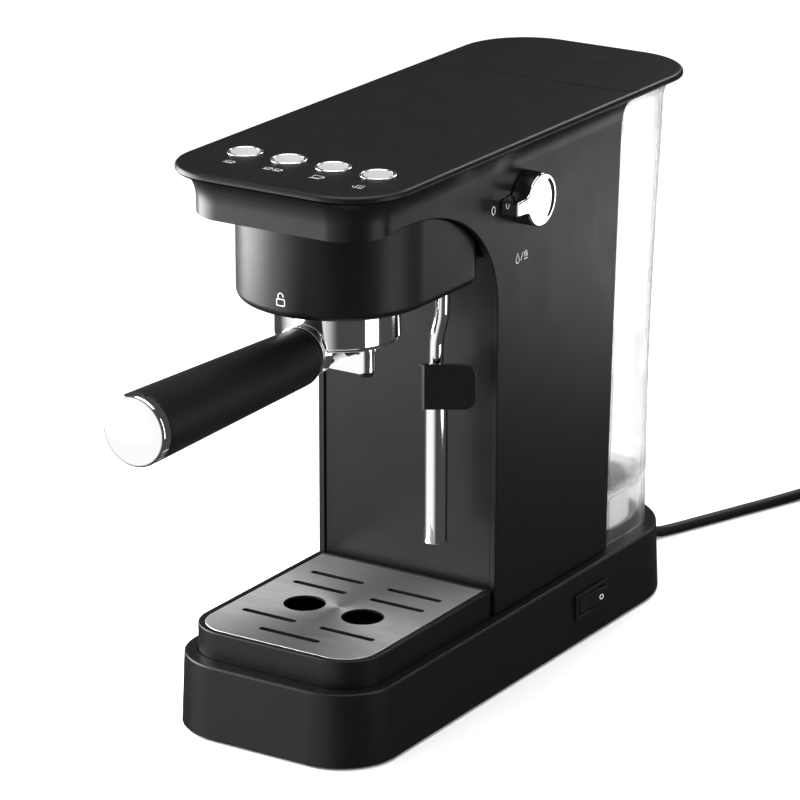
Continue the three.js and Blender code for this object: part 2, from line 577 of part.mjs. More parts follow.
function buildSteamValve() {
  const level = (inset, x) => {
    const geometry = new THREE.ExtrudeGeometry(knobOutline(inset), { depth: x[1] - x[0],
      bevelEnabled: false, curveSegments: 8 });
    geometry.rotateX(Math.PI / 2).rotateZ(Math.PI / 2).translate(x[0], KNOB.y, KNOB.z);
    return solid(geometry);
  };
  const groove = new THREE.Shape();
  groove.absarc(0, 0, 12.7, -0.98, 0.98, false).absarc(-3.8, 0, 12.9, 0.9, -0.9, true);
  const inlay = new THREE.ExtrudeGeometry(groove, { depth: 3, bevelEnabled: false, curveSegments: 5 });
  inlay.rotateX(Math.PI / 2).rotateZ(Math.PI / 2).translate(KNOB.outer - 0.8, KNOB.y, KNOB.z);
  const knob = join(level(0, [KNOB.inner, KNOB.outer - 0.7]), level(0.7, [KNOB.outer - 0.8, KNOB.outer]));
  const socket = rod(3.3, 6, "x", [KNOB.inner - 1, KNOB.y, KNOB.z], 10);
  add("steam_knob", cut(knob, solid(inlay), socket), "chrome");
  add("knob_shaft", rod(3, 18, "x", [44, KNOB.y, KNOB.z], 10), "steel");
  const body = rod(11, 18, "x", [34, KNOB.y, KNOB.z], 14);
  const outlet = rod(4.5, 16, "-y", [40, KNOB.y, KNOB.z], 10);
  add("steam_valve", cut(join(body, outlet), rod(3.4, 12, "x", [43.6, KNOB.y, KNOB.z], 10)), "brass");
  add("steam_pipe", bar([[40, KNOB.y - 16.4, KNOB.z], [40, -36, 270], [38.5, -48, 264], [WAND.x, -54.6, 256],
    [WAND.x, WAND.y, 249.4]], 2.4, 8), "silicone");
}

// ---- water side ----

function tankLevels(inset, zs) {
  const rear = (z) => Math.min(165 + 10.6 * Math.max((z - 110) / 170, 0) ** 1.6, 175.8);
  return zs.map((z) => {
    const t = Math.max((z - FLARE_FROM) / (HOUSING_TOP - FLARE_FROM), 0);
    const spread = (FLARE_WIDTH - 0.6) * (1 - Math.sqrt(1 - Math.min(t, 0.999) ** 2));
    const form = { halfWidth: COLUMN_HALF + spread, front: housingRear(z) + 0.8, rear: rear(z),
      frontCorner: 2.5, rearCorner: 44 - (spread * 3) / FLARE_WIDTH };
    return { shape: outline(form, inset), z };
  });
}

function buildTank() {
  const rise = [130, 205, FLARE_FROM, 300];
  const heights = [TANK_BOTTOM, ...rise, HOUSING_TOP - GAP];
  const outside = stacked(tankLevels(0, heights));
  const hollow = stacked(tankLevels(TANK_WALL, [TANK_FLOOR + 2.4, ...rise, 306]));
  const under = stacked(tankLevels(TANK_WALL, [30, TANK_FLOOR]));
  const valveHole = rod(8.4, 20, "z", [0, TANK_VALVE_Y, 60]);
  add("water_tank", cut(outside, hollow, under, valveHole), "clear");
  add("tank_lid", lidSlab().intersect(prism(behindSeam(0.25), 280, 330, 5)), "housing");

  const floor = TANK_FLOOR + 2.4;
  const valve = [[0, 57], [8, 57], [8, floor + GAP], [12, floor + GAP], [12, floor + 2.2], [5, floor + 5],
    [0, floor + 5]];
  add("tank_valve", turned(valve, "z", [0, TANK_VALVE_Y, 0], 16), "silicone");
  const seat = [[0, 32], [4, 32], [4, 38.6], [7.6, 38.6], [7.6, BASE_TOP + GAP], [15, BASE_TOP + GAP],
    [15, 44.6], [9, 46], [9, 56.4], [0, 56.4]];
  add("tank_seat", turned(seat, "z", [0, TANK_VALVE_Y, 0], 14), "softBlack");
}

function buildPump() {
  const at = [-20, 30, 0];
  const core = [[0, 54], [6, 54], [6, 62], [11, 64], [11, 128], [7, 131], [7, 140], [0, 140]];
  add("pump", join(turned(core, "z", at, 14), box([-38, -2], [12, 48], [74, 112])), "steel");
  add("suction_hose", bar([[0, TANK_VALVE_Y, 31.4], [0, TANK_VALVE_Y, 27], [-1, 121, 20], [-12, 80, 18],
    [-18, 48, 22], [-20, 34, 32], [-20, 30, 42], [-20, 30, 53.7]], 3.5, 16), "silicone");
  add("pressure_hose", bar([[-20, 30, 140.4], [-20, 30, 170], [-18, 26, 215], [-12, 4, 258], [-4, -28, 274],
    [0, -62.6, 276]], 2.8, 14), "silicone");
  add("control_board", box([18, 20], [-16, 62], [80, 200]), "board");
}

// ---- mains cord ----

function buildCord() {
  const { x, z } = CORD_EXIT;
  const relief = [[0, 170.8], [4.7, 170.8], [4.7, 177], [7, 177.4], [7, 179.4], [5.4, 180.4],
    [4.1, RELIEF_END], [0, RELIEF_END]];
  add("strain_relief", turned(relief, "y", [x, 0, z], 12), "rubber");
  add("cord", bar(CORD_ROUTE, CORD_RADIUS, 12, 10), "rubber");

  // The coil: two turns side by side, and two more on top, as one ring with its two leads.
  const side = new THREE.Vector3(CORD_HEADING.y, -CORD_HEADING.x, 0);
  const lead = (across, ahead, height) => new THREE.Vector3(COIL.x, COIL.y, 0)
    .addScaledVector(side, across).addScaledVector(CORD_HEADING, ahead).setZ(height).toArray();
  const turns = turned(ring(COIL.inner - CORD_RADIUS, COIL.outer + CORD_RADIUS, COIL.low - CORD_RADIUS,
    COIL.high + CORD_RADIUS), "z", [COIL.x, COIL.y, 0], 24);
  const arrive = bar([-23, -12, 0].map((y) => lead(-COIL.outer, y, COIL.low)), CORD_RADIUS, 3, 10);
  const leave = bar([[0, 0], [10, 0.8], [22, 4], [33, 6.4], [41.7, PLUG.z - COIL.high]]
    .map(([ahead, rise]) => lead(COIL.outer, -ahead, COIL.high + rise)), CORD_RADIUS, 6, 10);
  add("cord_coil", join(turns, arrive, leave), "rubber");

  const heading = Math.atan2(-CORD_HEADING.y, -CORD_HEADING.x);
  const set = (profile, sides, aside = 0) => {
    const geometry = place(lathe(profile, sides), "x", [0, aside, 0]).rotateZ(heading);
    return solid(geometry.translate(...lead(COIL.outer, -42, PLUG.z)));
  };
  const { radius, length, neck } = PLUG;
  add("plug_body", set([[0, 0], [5, 0], [7, neck * 0.7], [radius - 3, neck], [radius, neck + 4],
    [radius, neck + length], [0, neck + length]], 18), "rubber");
  [-1, 1].forEach((k, i) => {
    const start = neck + length + GAP;
    const pin = [[0, start], [2.4, start], [2.4, start + 17.5], [1.4, start + 19], [0, start + 19]];
    add(`plug_pin_${i + 1}`, set(pin, 8, k * 9.5), "steel");
  });
}

buildBase();
buildDripTray();
buildSwitch();
buildHousing();
buildButtons();
buildGroup();
buildPortafilter();
buildWand();
buildSteamValve();
buildTank();
buildPump();
buildCord();

export default machine;
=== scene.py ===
import math

import bmesh
import bpy
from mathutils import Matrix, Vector


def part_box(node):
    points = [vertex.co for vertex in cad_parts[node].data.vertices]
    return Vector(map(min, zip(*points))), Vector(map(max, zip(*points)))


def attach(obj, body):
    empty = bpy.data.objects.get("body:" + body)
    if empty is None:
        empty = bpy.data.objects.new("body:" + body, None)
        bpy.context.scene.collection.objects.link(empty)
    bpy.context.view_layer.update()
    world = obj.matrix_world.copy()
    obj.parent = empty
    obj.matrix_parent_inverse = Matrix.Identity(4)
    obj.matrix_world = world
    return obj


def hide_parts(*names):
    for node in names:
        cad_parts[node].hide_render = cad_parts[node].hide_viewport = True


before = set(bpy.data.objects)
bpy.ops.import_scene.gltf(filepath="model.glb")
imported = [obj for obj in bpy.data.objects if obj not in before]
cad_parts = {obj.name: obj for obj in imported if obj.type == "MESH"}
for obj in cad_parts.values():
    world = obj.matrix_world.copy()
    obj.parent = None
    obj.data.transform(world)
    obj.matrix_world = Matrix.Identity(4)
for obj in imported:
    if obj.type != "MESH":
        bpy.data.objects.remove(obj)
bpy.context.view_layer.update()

# The espresso machine's visible pieces, made around its CAD frame. Lengths are in
# millimetres and become metres where a mesh or curve is made.

MM = 0.001


def span(node):
    """A CAD node's box in millimetres: (x0, x1), (y0, y1), (z0, z1)."""
    low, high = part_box(node)
    return [(low[i] / MM, high[i] / MM) for i in range(3)]


def middle(pair):
    return (pair[0] + pair[1]) / 2


def foot_point(node):
    """The point under the middle of a CAD node, at height 0."""
    box = span(node)
    return (middle(box[0]), middle(box[1]), 0)


def grey(value, blue=None):
    """A grey, or one with its own blue."""
    return (value, value, blue or value)


def add_object(name, data):
    made = bpy.data.objects.new(name, data)
    bpy.context.scene.collection.objects.link(made)
    return made


# ---- camera ----

AZIMUTH = math.radians(32.46)
ELEVATION = math.radians(18.65)
ROLL = math.radians(0.087)
LOOKS_AT = Vector((0, 0.0138, 0.1565))
DISTANCE = 2.2577


def make_camera():
    flat = math.cos(ELEVATION)
    ahead = Vector((-math.sin(AZIMUTH) * flat, math.cos(AZIMUTH) * flat, -math.sin(ELEVATION)))
    data = bpy.data.cameras.new("camera")
    data.lens = 188.8
    camera = add_object("camera", data)
    camera.location = LOOKS_AT - ahead * DISTANCE
    turn = ahead.to_track_quat("-Z", "Y").to_matrix().to_4x4()
    turn = turn @ turn.Rotation(ROLL, 4, "Z")
    camera.rotation_euler = turn.to_euler()
    bpy.context.scene.camera = camera


# ---- node materials ----

def set_inputs(node, **values):
    """Sets a node's inputs by their names, with _ for a space."""
    for key, value in values.items():
        node.inputs[key.replace("_", " ")].default_value = value


class Look:
    """A material with a Principled shader, and short calls to add nodes to it."""

    def __init__(self, name, **values):
        self.material = bpy.data.materials.new(name)
        self.material.use_nodes = True
        self.nodes = self.material.node_tree.nodes
        self.shader = self.nodes["Principled BSDF"]
        self.points = self.add("ShaderNodeTexCoord").outputs["Object"]
        set_inputs(self.shader, **values)

    def add(self, kind, **settings):
        node = self.nodes.new(kind)
        for key, value in settings.items():
            setattr(node, key, value)
        return node

    def link(self, start, end):
        self.material.node_tree.links.new(start, end)

    def noise(self, scale, detail, stretch=(1, 1, 1)):
        """Noise with scale features in a metre, longer along the axes where stretch is small."""
        mapping = self.add("ShaderNodeMapping")
        set_inputs(mapping, Scale=stretch)
        noise = self.add("ShaderNodeTexNoise")
        set_inputs(noise, Scale=scale, Detail=detail)
        self.link(self.points, mapping.inputs["Vector"])
        self.link(mapping.outputs["Vector"], noise.inputs["Vector"])
        return noise.outputs["Fac"]

    def between(self, factor, low, high):
        """A number that goes from low to high with the factor."""
        node = self.add("ShaderNodeMapRange")
        set_inputs(node, To_Min=low, To_Max=high, From_Min=0.25, From_Max=0.75)
        self.link(factor, node.inputs["Value"])
        return node.outputs["Result"]

    def colours(self, factor, dark, light):
        node = self.add("ShaderNodeMix", data_type="RGBA")
        set_inputs(node, A=(*dark, 1), B=(*light, 1))
        self.link(factor, node.inputs["Factor"])
        self.link(node.outputs["Result"], self.shader.inputs["Base Color"])

    def roughness(self, factor, low, high):
        self.link(self.between(factor, low, high), self.shader.inputs["Roughness"])

    def bump(self, height, depth, strength):
        """Bumps up to depth millimetres high."""
        node = self.add("ShaderNodeBump")
        set_inputs(node, Distance=depth * MM, Strength=strength)
        self.link(height, node.inputs["Height"])
        self.link(node.outputs["Normal"], self.shader.inputs["Normal"])


def moulded(name, dark, light, smooth, rough, grain, specular=0.5):
    """Moulded plastic: a fine spark-eroded grain and faint unevenness in its sheen."""
    look = Look(name, Specular_IOR_Level=specular)
    patches = look.noise(14, 4)
    look.colours(patches, dark, light)
    look.roughness(look.noise(55, 5), smooth, rough)
    look.bump(look.noise(2600, 2), grain, 0.35)
    return look.material


def metal(name, dark, light, smooth, rough, scale, stretch=(1, 1, 1), depth=0.0, aniso=0.0):
    """Metal with faint wear. A brushed one has noise drawn out along the brushing."""
    look = Look(name, Metallic=1.0, Anisotropic=aniso)
    marks = look.noise(scale, 5, stretch)
    look.colours(marks, dark, light)
    look.roughness(marks, smooth, rough)
    if depth:
        look.bump(marks, depth, 0.5)
    return look.material


def clear_plastic(name, tint, alpha, smooth, rough, bending):
    """Clear moulding, slightly clouded."""
    look = Look(name, Transmission_Weight=1.0, IOR=bending, Alpha=alpha)
    cloud = look.noise(30, 4)
    look.colours(cloud, tuple(c * 0.985 for c in tint), tint)
    look.roughness(cloud, smooth, rough)
    look.bump(look.noise(60, 1), 0.01, 0.1)
    return look.material


def make_looks():
    brushed = (0.035, 1.6, 1.6)
    black = (grey(0.003, 0.0032), grey(0.004, 0.0043))
    return {
        "housing": moulded("black housing", *black, 0.36, 0.42, 0.02, 0.25),
        "lid": moulded("black lid", *black, 0.36, 0.42, 0.03, 0.25),
        "inside": moulded("black plastic", grey(0.003), grey(0.005), 0.5, 0.6, 0.03, 0.25),
        "grip": moulded("black grip", grey(0.003, 0.0033), grey(0.004, 0.0044), 0.5, 0.56, 0.03, 0.18),
        "rubber": moulded("black rubber", grey(0.005), grey(0.008), 0.5, 0.65, 0.05, 0.3),
        "cord": moulded("cord sheath", grey(0.003, 0.0033), grey(0.005, 0.0056), 0.42, 0.5, 0.02, 0.3),
        "clip": moulded("finger plate", grey(0.003), grey(0.004), 0.16, 0.22, 0.01, 0.7),
        "chrome": metal("chrome", grey(0.8, 0.81), grey(0.86, 0.87), 0.04, 0.08, scale=25),
        "bezel": metal("satin bezel", grey(0.55, 0.56), grey(0.62, 0.63), 0.22, 0.3, scale=60),
        "pearl": moulded("button cap", grey(0.32), grey(0.4), 0.35, 0.45, 0.01, 0.3),
        "steel": metal("brushed steel", (0.68, 0.675, 0.665), (0.76, 0.755, 0.74), 0.36, 0.46,
                       900, brushed, 0.006, 0.5),
        "pressed": metal("pressed steel", grey(0.5, 0.49), grey(0.6, 0.59), 0.2, 0.3, scale=160),
        "cast": metal("cast aluminium", grey(0.4), grey(0.55), 0.45, 0.62, scale=420, depth=0.05),
        "brass": metal("brass", (0.5, 0.36, 0.13), (0.62, 0.46, 0.2), 0.25, 0.38, scale=120),
        "clear": clear_plastic("clear tank", (0.86, 0.865, 0.87), 0.6, 0.02, 0.05, 1.22),
        "frosted": moulded("frosted plastic", (0.7, 0.71, 0.715), (0.76, 0.77, 0.775), 0.4, 0.5, 0.01),
        "silicone": moulded("milky silicone", grey(0.5, 0.48), grey(0.6, 0.58), 0.4, 0.55, 0.03),
        "board": moulded("circuit board", (0.006, 0.05, 0.018), (0.012, 0.08, 0.03), 0.3, 0.4, 0.05),
        "print": moulded("white print", grey(0.72), grey(0.8), 0.45, 0.55, 0.005),
    }


# ---- points and outlines ----

def arc(centre, r, start, end, steps):
    """Points on an arc, with its angles in degrees."""
    turns = [math.radians(start + (end - start) * i / steps) for i in range(steps + 1)]
    return [(centre[0] + r * math.cos(a), centre[1] + r * math.sin(a)) for a in turns]


def quarter(steps):
    """Angles from 0 to a right angle, in radians."""
    return [math.pi / 2 * i / steps for i in range(steps + 1)]


def rounded_end(end, r, steps):
    """(place, inset) pairs round the edge of a side that ends at end."""
    return [(end - r * (1 - math.sin(a)), r * (1 - math.cos(a))) for a in quarter(steps)]


def stadium(x, y, half, r, steps):
    """Two half circles about x - half and x + half, and the straight sides between them."""
    return arc((x + half, y), r, -90, 90, steps) + arc((x - half, y), r, 90, 270, steps)


def fillet(points, radius, steps, closed=True):
    """The outline with each corner rounded. radius is one size, or one for each corner."""
    made = []
    for i, corner in enumerate(points):
        r = radius[i] if isinstance(radius, (list, tuple)) else radius
        if r <= 0 or (not closed and i in (0, len(points) - 1)):
            made.append(tuple(corner))
            continue
        here = Vector(corner)
        back = Vector(points[i - 1]) - here
        on = Vector(points[(i + 1) % len(points)]) - here
        half = back.angle(on) / 2
        reach = min(r / math.tan(half), back.length * 0.49, on.length * 0.49)
        centre = here + (back.normalized() + on.normalized()).normalized() * (reach / math.cos(half))
        from_centre = here + back.normalized() * reach - centre
        to = here + on.normalized() * reach - centre
        first = math.atan2(from_centre.y, from_centre.x)
        sweep = (math.atan2(to.y, to.x) - first + math.pi) % (2 * math.pi) - math.pi
        made += arc(centre, from_centre.length, math.degrees(first), math.degrees(first + sweep), steps)
    return made


def plan(form, inset, steps=14):
    """A rounded rectangle seen from above, smaller by inset on every side.
    form is its half width, front, rear, front corner radius and rear corner radius."""
    half, front, rear, front_corner, rear_corner = form
    w, y0, y1 = half - inset, front + inset, rear - inset
    rf, rr = max(front_corner - inset, 0.3), max(rear_corner - inset, 0.3)
    corners = [(w - rf, y0 + rf, rf, -90), (w - rr, y1 - rr, rr, 0),
               (rr - w, y1 - rr, rr, 90), (rf - w, y0 + rf, rf, 180)]
    return [p for x, y, r, start in corners for p in arc((x, y), r, start, start + 90, steps)]


def shifted(points, distance):
    """A closed counter-clockwise outline moved inwards by distance."""
    made = []
    for i, here in enumerate(points):
        back = (Vector(here) - Vector(points[i - 1])).normalized()
        on = (Vector(points[(i + 1) % len(points)]) - Vector(here)).normalized()
        inward = Vector((-back.y - on.y, back.x + on.x)).normalized()
        slant = max(inward.dot(Vector((-on.y, on.x))), 0.4)
        made.append(tuple(Vector(here) + inward * (distance / slant)))
    return made


def growth(z, start, over, by, power):
    """0 up to the height start, and by at over millimetres higher, along a power curve."""
    return by * max((z - start) / over, 0) ** power


def edge(low, high, bottom, top, steps=5):
    """(inset, height) pairs up a wall whose lower and upper edges are rounded."""
    turns = quarter(steps)
    lower = [(bottom * (1 - math.sin(a)), low + bottom * (1 - math.cos(a))) for a in turns]
    upper = [(top * (1 - math.cos(a)), high - top * (1 - math.sin(a))) for a in turns]
    return (lower if bottom else [(0, low)]) + (upper if top else [(0, high)])


def level(points, z):
    return [(x, y, z) for x, y in points]


def upright(points, x):
    """An outline of (y, z) points in the plane at x."""
    return [(x, y, z) for y, z in points]


# ---- meshes ----

def clean(mesh):
    """Merges points that lie on each other and turns the faces outwards."""
    shape = bmesh.new()
    shape.from_mesh(mesh)
    bmesh.ops.remove_doubles(shape, verts=shape.verts, dist=0.002 * MM)
    bmesh.ops.recalc_face_normals(shape, faces=shape.faces)
    shape.to_mesh(mesh)
    shape.free()
    return mesh


def evaluated(piece):
    """The piece's mesh with its modifiers or its curve made real."""
    bpy.context.view_layer.update()
    depsgraph = bpy.context.evaluated_depsgraph_get()
    return bpy.data.meshes.new_from_object(piece.evaluated_get(depsgraph))


def make(name, points, faces):
    """A mesh object from points in millimetres, with its faces pointing out."""
    mesh = bpy.data.meshes.new(name)
    mesh.from_pydata([Vector(p) * MM for p in points], [], faces)
    return add_object(name, clean(mesh))


def skin(name, loops, closed=False):
    """A closed skin over loops with the same number of points. A closed one joins its
    last loop to its first, and any other has a face over each end."""
    count = len(loops[0])
    faces = []
    for k in range(len(loops) if closed else len(loops) - 1):
        low, high = k * count, (k + 1) % len(loops) * count
        for i in range(count):
            j = (i + 1) % count
            faces.append((low + i, low + j, high + j, high + i))
    if not closed:
        last = (len(loops) - 1) * count
        faces.append(tuple(range(count))[::-1])
        faces.append(tuple(range(last, last + count)))
    return make(name, [p for loop in loops for p in loop], faces)


def slab(name, form, walls, steps=20):
    """A rounded rectangle whose walls follow (inset, height) pairs."""
    return skin(name, [level(plan(form, inset, steps), z) for inset, z in walls])


def turned(name, profile, at, along=(0, 0, 1), steps=72, closed=False):
    """A solid turned about an axis through the point at. Its profile is (radius, distance)
    pairs, from the axis to the axis, or round a ring's section if closed."""
    turn = Vector((0, 0, 1)).rotation_difference(Vector(along))
    loops = []
    for r, h in profile:
        circle = arc((0, 0), r, 0, 360 - 360 / steps, steps - 1)
        loops.append([turn @ Vector((x, y, h)) + Vector(at) for x, y in circle])
    return skin(name, loops, closed)


def lathe(name, points, radii, bend, at, steps, closed=False):
    """A turned piece whose section has corners rounded by radii, with bend steps in each."""
    return turned(name, fillet(points, radii, bend, closed), at, steps=steps, closed=closed)


def round_curve(name, points, r, steps, sides):
    """A curve with a round section that runs smoothly through points."""
    data = bpy.data.curves.new(name, "CURVE")
    data.dimensions = "3D"
    data.bevel_depth = r * MM
    data.bevel_resolution = sides
    data.use_fill_caps = True
    spline = data.splines.new("BEZIER")
    spline.resolution_u = steps
    spline.bezier_points.add(len(points) - 1)
    for knot, point in zip(spline.bezier_points, points):
        knot.co = Vector(point) * MM
        knot.handle_left_type = knot.handle_right_type = "AUTO"
    return add_object(name, data)


def pipe(name, points, r):
    """A round bar along a smooth curve through points."""
    curve = round_curve(name, points, r, 12, 10)
    mesh = evaluated(curve)
    bpy.data.objects.remove(curve)
    return add_object(name, clean(mesh))


def combine(piece, operation, *others):
    """Cuts the others out of a piece, or joins them to it, and removes them."""
    for other in others:
        change = piece.modifiers.new("combine", "BOOLEAN")
        change.operation = operation
        change.solver = "MANIFOLD"
        change.object = other
    mesh = evaluated(piece)
    piece.modifiers.clear()
    piece.data = mesh
    for other in others:
        bpy.data.objects.remove(other)
    return piece


def cut(piece, *others):
    return combine(piece, "DIFFERENCE", *others)


def join(piece, *others):
    return combine(piece, "UNION", *others)


def common(piece, *others):
    return combine(piece, "INTERSECT", *others)


def tower(outline, low, high):
    """A cutter that stands upright, with its outline seen from above."""
    return skin("cutter", [level(outline, z) for z in (low, high)])


def crosswise(outline, x0, x1):
    """A cutter from side to side, with its outline of (y, z) points."""
    return skin("cutter", [upright(outline, x) for x in (x0, x1)])


def block(x, y, z):
    """A plain block to cut with, from (low, high) pairs."""
    return skin("cutter", [[(a, y[0], h), (b, y[0], h), (b, y[1], h), (a, y[1], h)]
                           for h in z for a, b in [x]])


def rod(r, length, at, along=(0, 0, 1), steps=32):
    return turned("cutter", [(0, 0), (r, 0), (r, length), (0, length)], at, along, steps)


def break_edges(piece, width, sharper):
    """Rounds a piece's sharp edges."""
    shape = bmesh.new()
    shape.from_mesh(piece.data)
    bmesh.ops.remove_doubles(shape, verts=shape.verts, dist=0.01 * MM)
    bmesh.ops.dissolve_limit(shape, angle_limit=math.radians(0.3), verts=shape.verts, edges=shape.edges)
    sharp = [e for e in shape.edges
             if len(e.link_faces) == 2 and e.calc_face_angle(0) > math.radians(sharper)]
    bmesh.ops.bevel(shape, geom=sharp, offset=width * MM, offset_type="OFFSET", segments=2,
                    profile=0.5, affect="EDGES", clamp_overlap=True)
    shape.to_mesh(piece.data)
    shape.free()
    return piece


def fit(piece, look, slot, body, *nodes, sharp=38):
    """Shades a piece, gives it its material and body, and lets it stand for nodes. slot is
    not used."""
    piece.data.materials.clear()
    piece.data.materials.append(looks[look])
    piece.data.shade_smooth()
    piece.data.set_sharp_from_angle(angle=math.radians(sharp))
    even = piece.modifiers.new("even shading", "WEIGHTED_NORMAL")
    even.keep_sharp = True
    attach(piece, body)
    if nodes:
        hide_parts(*nodes)
    return piece


# ---- the mains cord, its tie and its plug ----

BASE_Y = middle(span("base_shell")[1])
CORD_RADIUS = 3.2
CORD_ROUTE = [(15, 197.5, 10), (15.1, 203, 9.4), (16.3, 211.5, 6), (18.7, 220.5, 3.6),
              (22.2, 229, 3.25),
              (30.8, 250.9, 3.25), (41.5, 278.9, 3.25), (52.2, 306.9, 3.3), (61.8, 331.9, 3.7),
              (68.9, 350.6, 3.9)]
COIL = {"x": 112.9, "y": 358.7, "inner": 31.6, "outer": 38.2, "low": 3.9, "high": 10.4, "turns": 3.5}
COIL_SHIFTS = {"in": (285, 355), "up": (586, 656), "out": (900, 965)}
HEADING = Vector((0.357, 0.934, 0)).normalized()
PLUG = {"z": 17.2, "radius": 17, "length": 24, "neck": 18, "ribs": 4, "from_coil": 42}
PIN = {"r": 2.4, "sleeve": 9, "length": 19, "aside": 9.5}
coil_side = Vector((HEADING.y, -HEADING.x, 0))
coil_middle = Vector((COIL["x"], COIL["y"] + BASE_Y, 0))


def by_coil(across, ahead, height):
    """A point by its distances to the side of the coil's middle and ahead of it."""
    point = coil_middle + coil_side * across + HEADING * ahead
    return (point.x, point.y, height)


def ease(value, low, high):
    """0 before low, 1 after high, and a smooth rise between them."""
    t = min(max((value - low) / (high - low), 0), 1)
    return (1 - math.cos(math.pi * t)) / 2


def coil_points(per_turn=24):
    """The coil's turns, clockwise from above. It starts on the floor and outside, and shifts in,
    up and out again on top, each over the angles in COIL_SHIFTS."""
    points = []
    wide = COIL["outer"] - COIL["inner"]
    deep = COIL["high"] - COIL["low"]
    for i in range(1, int(per_turn * COIL["turns"])):
        turn = 360 * i / per_turn
        r = COIL["outer"] - wide * ease(turn, *COIL_SHIFTS["in"]) + wide * ease(turn, *COIL_SHIFTS["out"])
        z = COIL["low"] + deep * ease(turn, *COIL_SHIFTS["up"])
        angle = math.radians(turn)
        points.append(by_coil(-r * math.cos(angle), r * math.sin(angle), z))
    return points


def cord_points():
    lead_in = [by_coil(-COIL["outer"], ahead, COIL["low"]) for ahead in (-12, 0)]
    rises = [(0, 0), (10, 0.8), (22, 4), (33, 6.4), (41.7, PLUG["z"] - COIL["high"])]
    lead_out = [by_coil(COIL["outer"], -ahead, COIL["high"] + rise) for ahead, rise in rises]
    route = [(x, y + BASE_Y, z) for x, y, z in CORD_ROUTE]
    return route + lead_in + coil_points() + lead_out


def make_cord():
    cord = round_curve("mains_cord", cord_points(), CORD_RADIUS, 6, 6)
    cord.data.materials.append(looks["cord"])
    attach(cord, "machine")
    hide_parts("cord", "cord_coil")
    return cord


def make_tie():
    """A flat band round the coil's turns, on the side that faces the machine's rear."""
    radius = (COIL["inner"] + COIL["outer"]) / 2
    half_width = (COIL["outer"] - COIL["inner"]) / 2 + CORD_RADIUS + 0.3
    low, high = COIL["low"] - CORD_RADIUS, COIL["high"] + CORD_RADIUS
    section = fillet([(-half_width, low - 0.02), (half_width, low - 0.02),
                      (half_width, high + 0.3), (-half_width, high + 0.3)], 3.1, 6)
    outer = shifted(section, -0.6)
    loops = []
    for outline, ahead in [(section, -2.5), (outer, -2.5), (outer, 2.5), (section, 2.5)]:
        loops.append([by_coil(-radius - out, ahead, max(height, 0.02)) for out, height in outline])
    tie = skin("cord_tie", loops, closed=True)
    return fit(tie, "rubber", "rubber", "machine")


def make_plug():
    """A round two-pin plug with a ribbed neck and a flat on each side."""
    at = Vector(by_coil(COIL["outer"], -PLUG["from_coil"], PLUG["z"]))
    along = -HEADING
    aside = Vector((-along.y, along.x, 0))
    radius, length, neck = PLUG["radius"], PLUG["length"], PLUG["neck"]
    profile = [(0, 0), (4.2, 0), (4.9, 0.6)]
    for i in range(PLUG["ribs"]):
        start = 2 + i * 2.9
        swell = 5.1 + i * 0.45
        groove = swell - 0.9
        profile += [(swell, start), (swell, start + 1.6), (groove, start + 2), (groove, start + 2.6)]
    profile += fillet([(6.6, neck - 4), (radius - 3, neck - 0.5), (radius, neck + 5),
                       (radius, neck + length), (0, neck + length)], [0, 4, 5, 1.2, 0], 5, closed=False)
    body = turned("plug_moulding", profile, at, along, 64)
    first, last = neck + 9, neck + length - 4
    near, far = radius - 2.6, radius + 6
    flats = []
    for k in (1, -1):
        corners = [at + along * s + aside * (k * d)
                   for s, d in ((first, near), (last, near), (last, far), (first, far))]
        flats.append(tower([(p.x, p.y) for p in corners], PLUG["z"] - 9, PLUG["z"] + 9))
    cut(body, *flats)
    break_edges(body, 0.5, 45)
    fit(body, "rubber", "rubber", "machine", "plug_body")
    pieces = [body]
    start = neck + length + 0.3
    step, tip, r = start + PIN["sleeve"], start + PIN["length"], PIN["r"]
    profile = [(0, start), (r, start), (r, step), (r - 0.05, step + 0.1), (r - 0.05, tip - 1.8),
               (1.5, tip - 0.2), (0, tip)]
    for i, k in enumerate((-1, 1)):
        pin = turned(f"plug_contact_{i + 1}", profile, at + aside * (k * PIN["aside"]), along, 32)
        pieces.append(fit(pin, "pressed", "brushed_steel", "machine", f"plug_pin_{i + 1}"))
    return pieces


def make_relief():
    """The tapered strain relief, with the cuts that let it bend."""
    (x0, x1), (y0, y1), (z0, z1) = span("strain_relief")
    profile = [(0, 0), (4.7, 0), (4.7, 6.3), (6.6, 6.5), (7, 6.9), (7, 8.3), (6.6, 8.7), (5.4, 9.4)]
    cuts = 4
    for i in range(cuts):
        start = 10.6 + i * 3.6
        r = 5.4 - 1.1 * (i + 1) / cuts
        groove = r - 0.75
        profile += [(r + 0.2, start), (groove, start + 0.3), (groove, start + 1.2),
                    (r + 0.1, start + 1.5)]
    profile += [(4.15, y1 - y0 - 0.6), (3.9, y1 - y0), (0, y1 - y0)]
    relief = turned("cord_relief", profile, (middle((x0, x1)), y0, middle((z0, z1))), (0, 1, 0), 48)
    return fit(relief, "rubber", "rubber", "machine", "strain_relief")


# ---- base and drip tray ----

base_x, base_y, base_z = span("base_shell")
DRAFT = 1.6
BASE_FORM = (base_x[1] - DRAFT, base_y[0] + DRAFT, base_y[1] - DRAFT, 32.5, 54)
WALL = 2.6
tray_x, tray_y, tray_z = span("drip_tray")
TRAY_FORM = (tray_x[1], tray_y[0], tray_y[1], 23, 3)
plate_x, plate_y, plate_z = span("drip_plate")
PLATE_FORM = (plate_x[1], plate_y[0], plate_y[1], 19.2, 0.5)
_, switch_y, switch_z = span("switch_housing")


